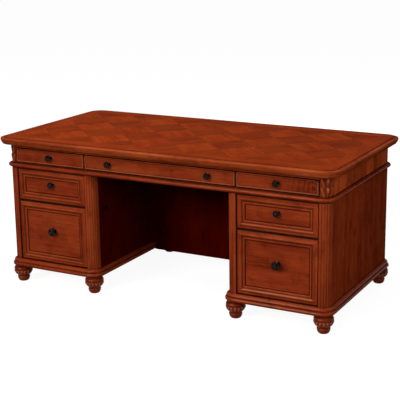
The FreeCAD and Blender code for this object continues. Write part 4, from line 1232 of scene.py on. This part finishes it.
# %% [markdown]
# The desk stands on a plain pale floor that runs far back, so it is also the background. It is wide enough
# for its end to stay out of the picture when the desk is seen from 12 degrees up or more. For rays that the
# camera, a mirror-like surface or glass sends out, the floor adds light of its own and looks white, but it
# keeps the desk's shadow. For other rays it is greyer, so that it doesn't flood the kneehole with light from
# below.

# %% The floor
FLOOR_SIZE = 600
FLOOR_GLOW = 0.92
bpy.ops.object.select_all(action="DESELECT")
bpy.ops.mesh.primitive_plane_add(size=FLOOR_SIZE)
floor = bpy.context.object
floor.name = "floor"
floor_material, tree, output = new_material("pale_floor")
path = add_node(tree, "LightPath")
mirrored = calculate(tree, "MAXIMUM", path.outputs["Is Camera Ray"], path.outputs["Is Glossy Ray"])
seen = calculate(tree, "MAXIMUM", mirrored, path.outputs["Is Transmission Ray"])
white = add_node(tree, "BsdfDiffuse", {"Color": linear("#808080")})
glow = add_node(tree, "Emission", {"Color": linear("#FFFFFF"), "Strength": FLOOR_GLOW})
lifted = add_node(tree, "AddShader", {0: white, 1: glow})
grey = add_node(tree, "BsdfDiffuse", {"Color": linear("#747270")})
mixed = add_node(tree, "MixShader", {0: seen, 1: grey, 2: lifted})
tree.links.new(mixed.outputs[0], output.inputs[0])
floor.data.materials.append(floor_material)
print("floor", floor.dimensions.x, "m across")

# %% [markdown]
# The lighting is a plain studio set: a key light at the left front, a long one overhead, and a weak one at
# the right front, so the right end stays at about half the brightness of the front. Mirror-like surfaces
# don't show that one, because the top would glare when it is seen from behind. The key stands low enough
# to reach under the nose of the top, and a weak light that lies on the floor does what a white card does:
# it lifts the undersides of the mouldings. One more stands low behind the desk, for a look at its back.
# The camera sees none of them.

# %% Lights
def area_light(name, place, target, size, power):
    """A rectangular light of a size in metres and a power in watts that looks at a target."""
    bpy.ops.object.light_add(type="AREA", location=place)
    light = bpy.context.object
    light.name = name
    light.data.shape = "RECTANGLE"
    light.data.size, light.data.size_y = size
    light.data.energy = power
    light.visible_camera = False
    light.rotation_euler = (Vector(target) - Vector(place)).to_track_quat("-Z", "Y").to_euler()
    return light


middle = (cad_box[0] + cad_box[1]) / 2
area_light("key", (-3.1, -8.5, 4.6), middle, (3.1, 2.5), 525)
area_light("overhead", (-0.8, -0.9, 3.2), (0.0, -0.1, 0.76), (3.4, 1.2), 62)
right_fill = area_light("right_fill", (2.9, -2.3, 1.9), middle, (1.8, 1.4), 46)
right_fill.visible_glossy = False
area_light("floor_card", (0.0, -1.6, 0.02), (0.0, -1.59, 1.0), (2.4, 0.6), 5)
area_light("back_fill", (-0.6, 4.6, 0.34), middle, (2.5, 0.6), 24)

# %% [markdown]
# The sky is brighter overhead than at the horizon, so that the flat top doesn't mirror a white wall.

# %% Sky
HORIZON_LIGHT, OVERHEAD_LIGHT = 0.02, 0.5
world = bpy.data.worlds.new("studio")
bpy.context.scene.world = world
world.use_nodes = True
sky_tree = world.node_tree
sky_tree.nodes.clear()
direction = add_node(sky_tree, "TexCoord").outputs["Generated"]
height = add_node(sky_tree, "SeparateXYZ", {0: direction}).outputs["Z"]
climb = calculate(sky_tree, "POWER", height, 2.0)
level = ranged(sky_tree, climb, 0.0, 1.0, HORIZON_LIGHT, OVERHEAD_LIGHT)
sky = add_node(sky_tree, "Background", {"Color": linear("#FFFFFF"), "Strength": level})
sky_output = add_node(sky_tree, "OutputWorld")
sky_tree.links.new(sky.outputs[0], sky_output.inputs[0])
print("sky from", HORIZON_LIGHT, "to", OVERHEAD_LIGHT)

# %% [markdown]
# The camera was found from the desk itself: its known corners were matched to the same corners in the
# picture. It stands to the right of the desk at standing eye height, turned to the left and tilted down. Its
# lens is shifted a little, because the picture's uprights lean less than the tilt alone would make them.

# %% Camera
FOCAL_PIXELS = 1047.1
IMAGE_PIXELS = 400
SENSOR = 36
YAW, PITCH, ROLL = (math.radians(angle) for angle in (27.347, 13.460, -0.533))
SHIFT_X, SHIFT_Y = -0.05, -0.06
bpy.ops.object.camera_add(location=(2.4539, -4.5067, 1.7829))
camera = bpy.context.object
aim = Matrix.Rotation(YAW, 4, "Z") @ Matrix.Rotation(math.pi / 2 - PITCH, 4, "X")
camera.rotation_euler = (aim @ Matrix.Rotation(ROLL, 4, "Z")).to_euler()
camera.data.sensor_width = SENSOR
camera.data.lens = FOCAL_PIXELS / IMAGE_PIXELS * SENSOR
camera.data.shift_x = SHIFT_X
camera.data.shift_y = SHIFT_Y
bpy.context.scene.camera = camera
bpy.context.scene.view_settings.view_transform = "Standard"
print("lens", round(camera.data.lens, 1), "mm")
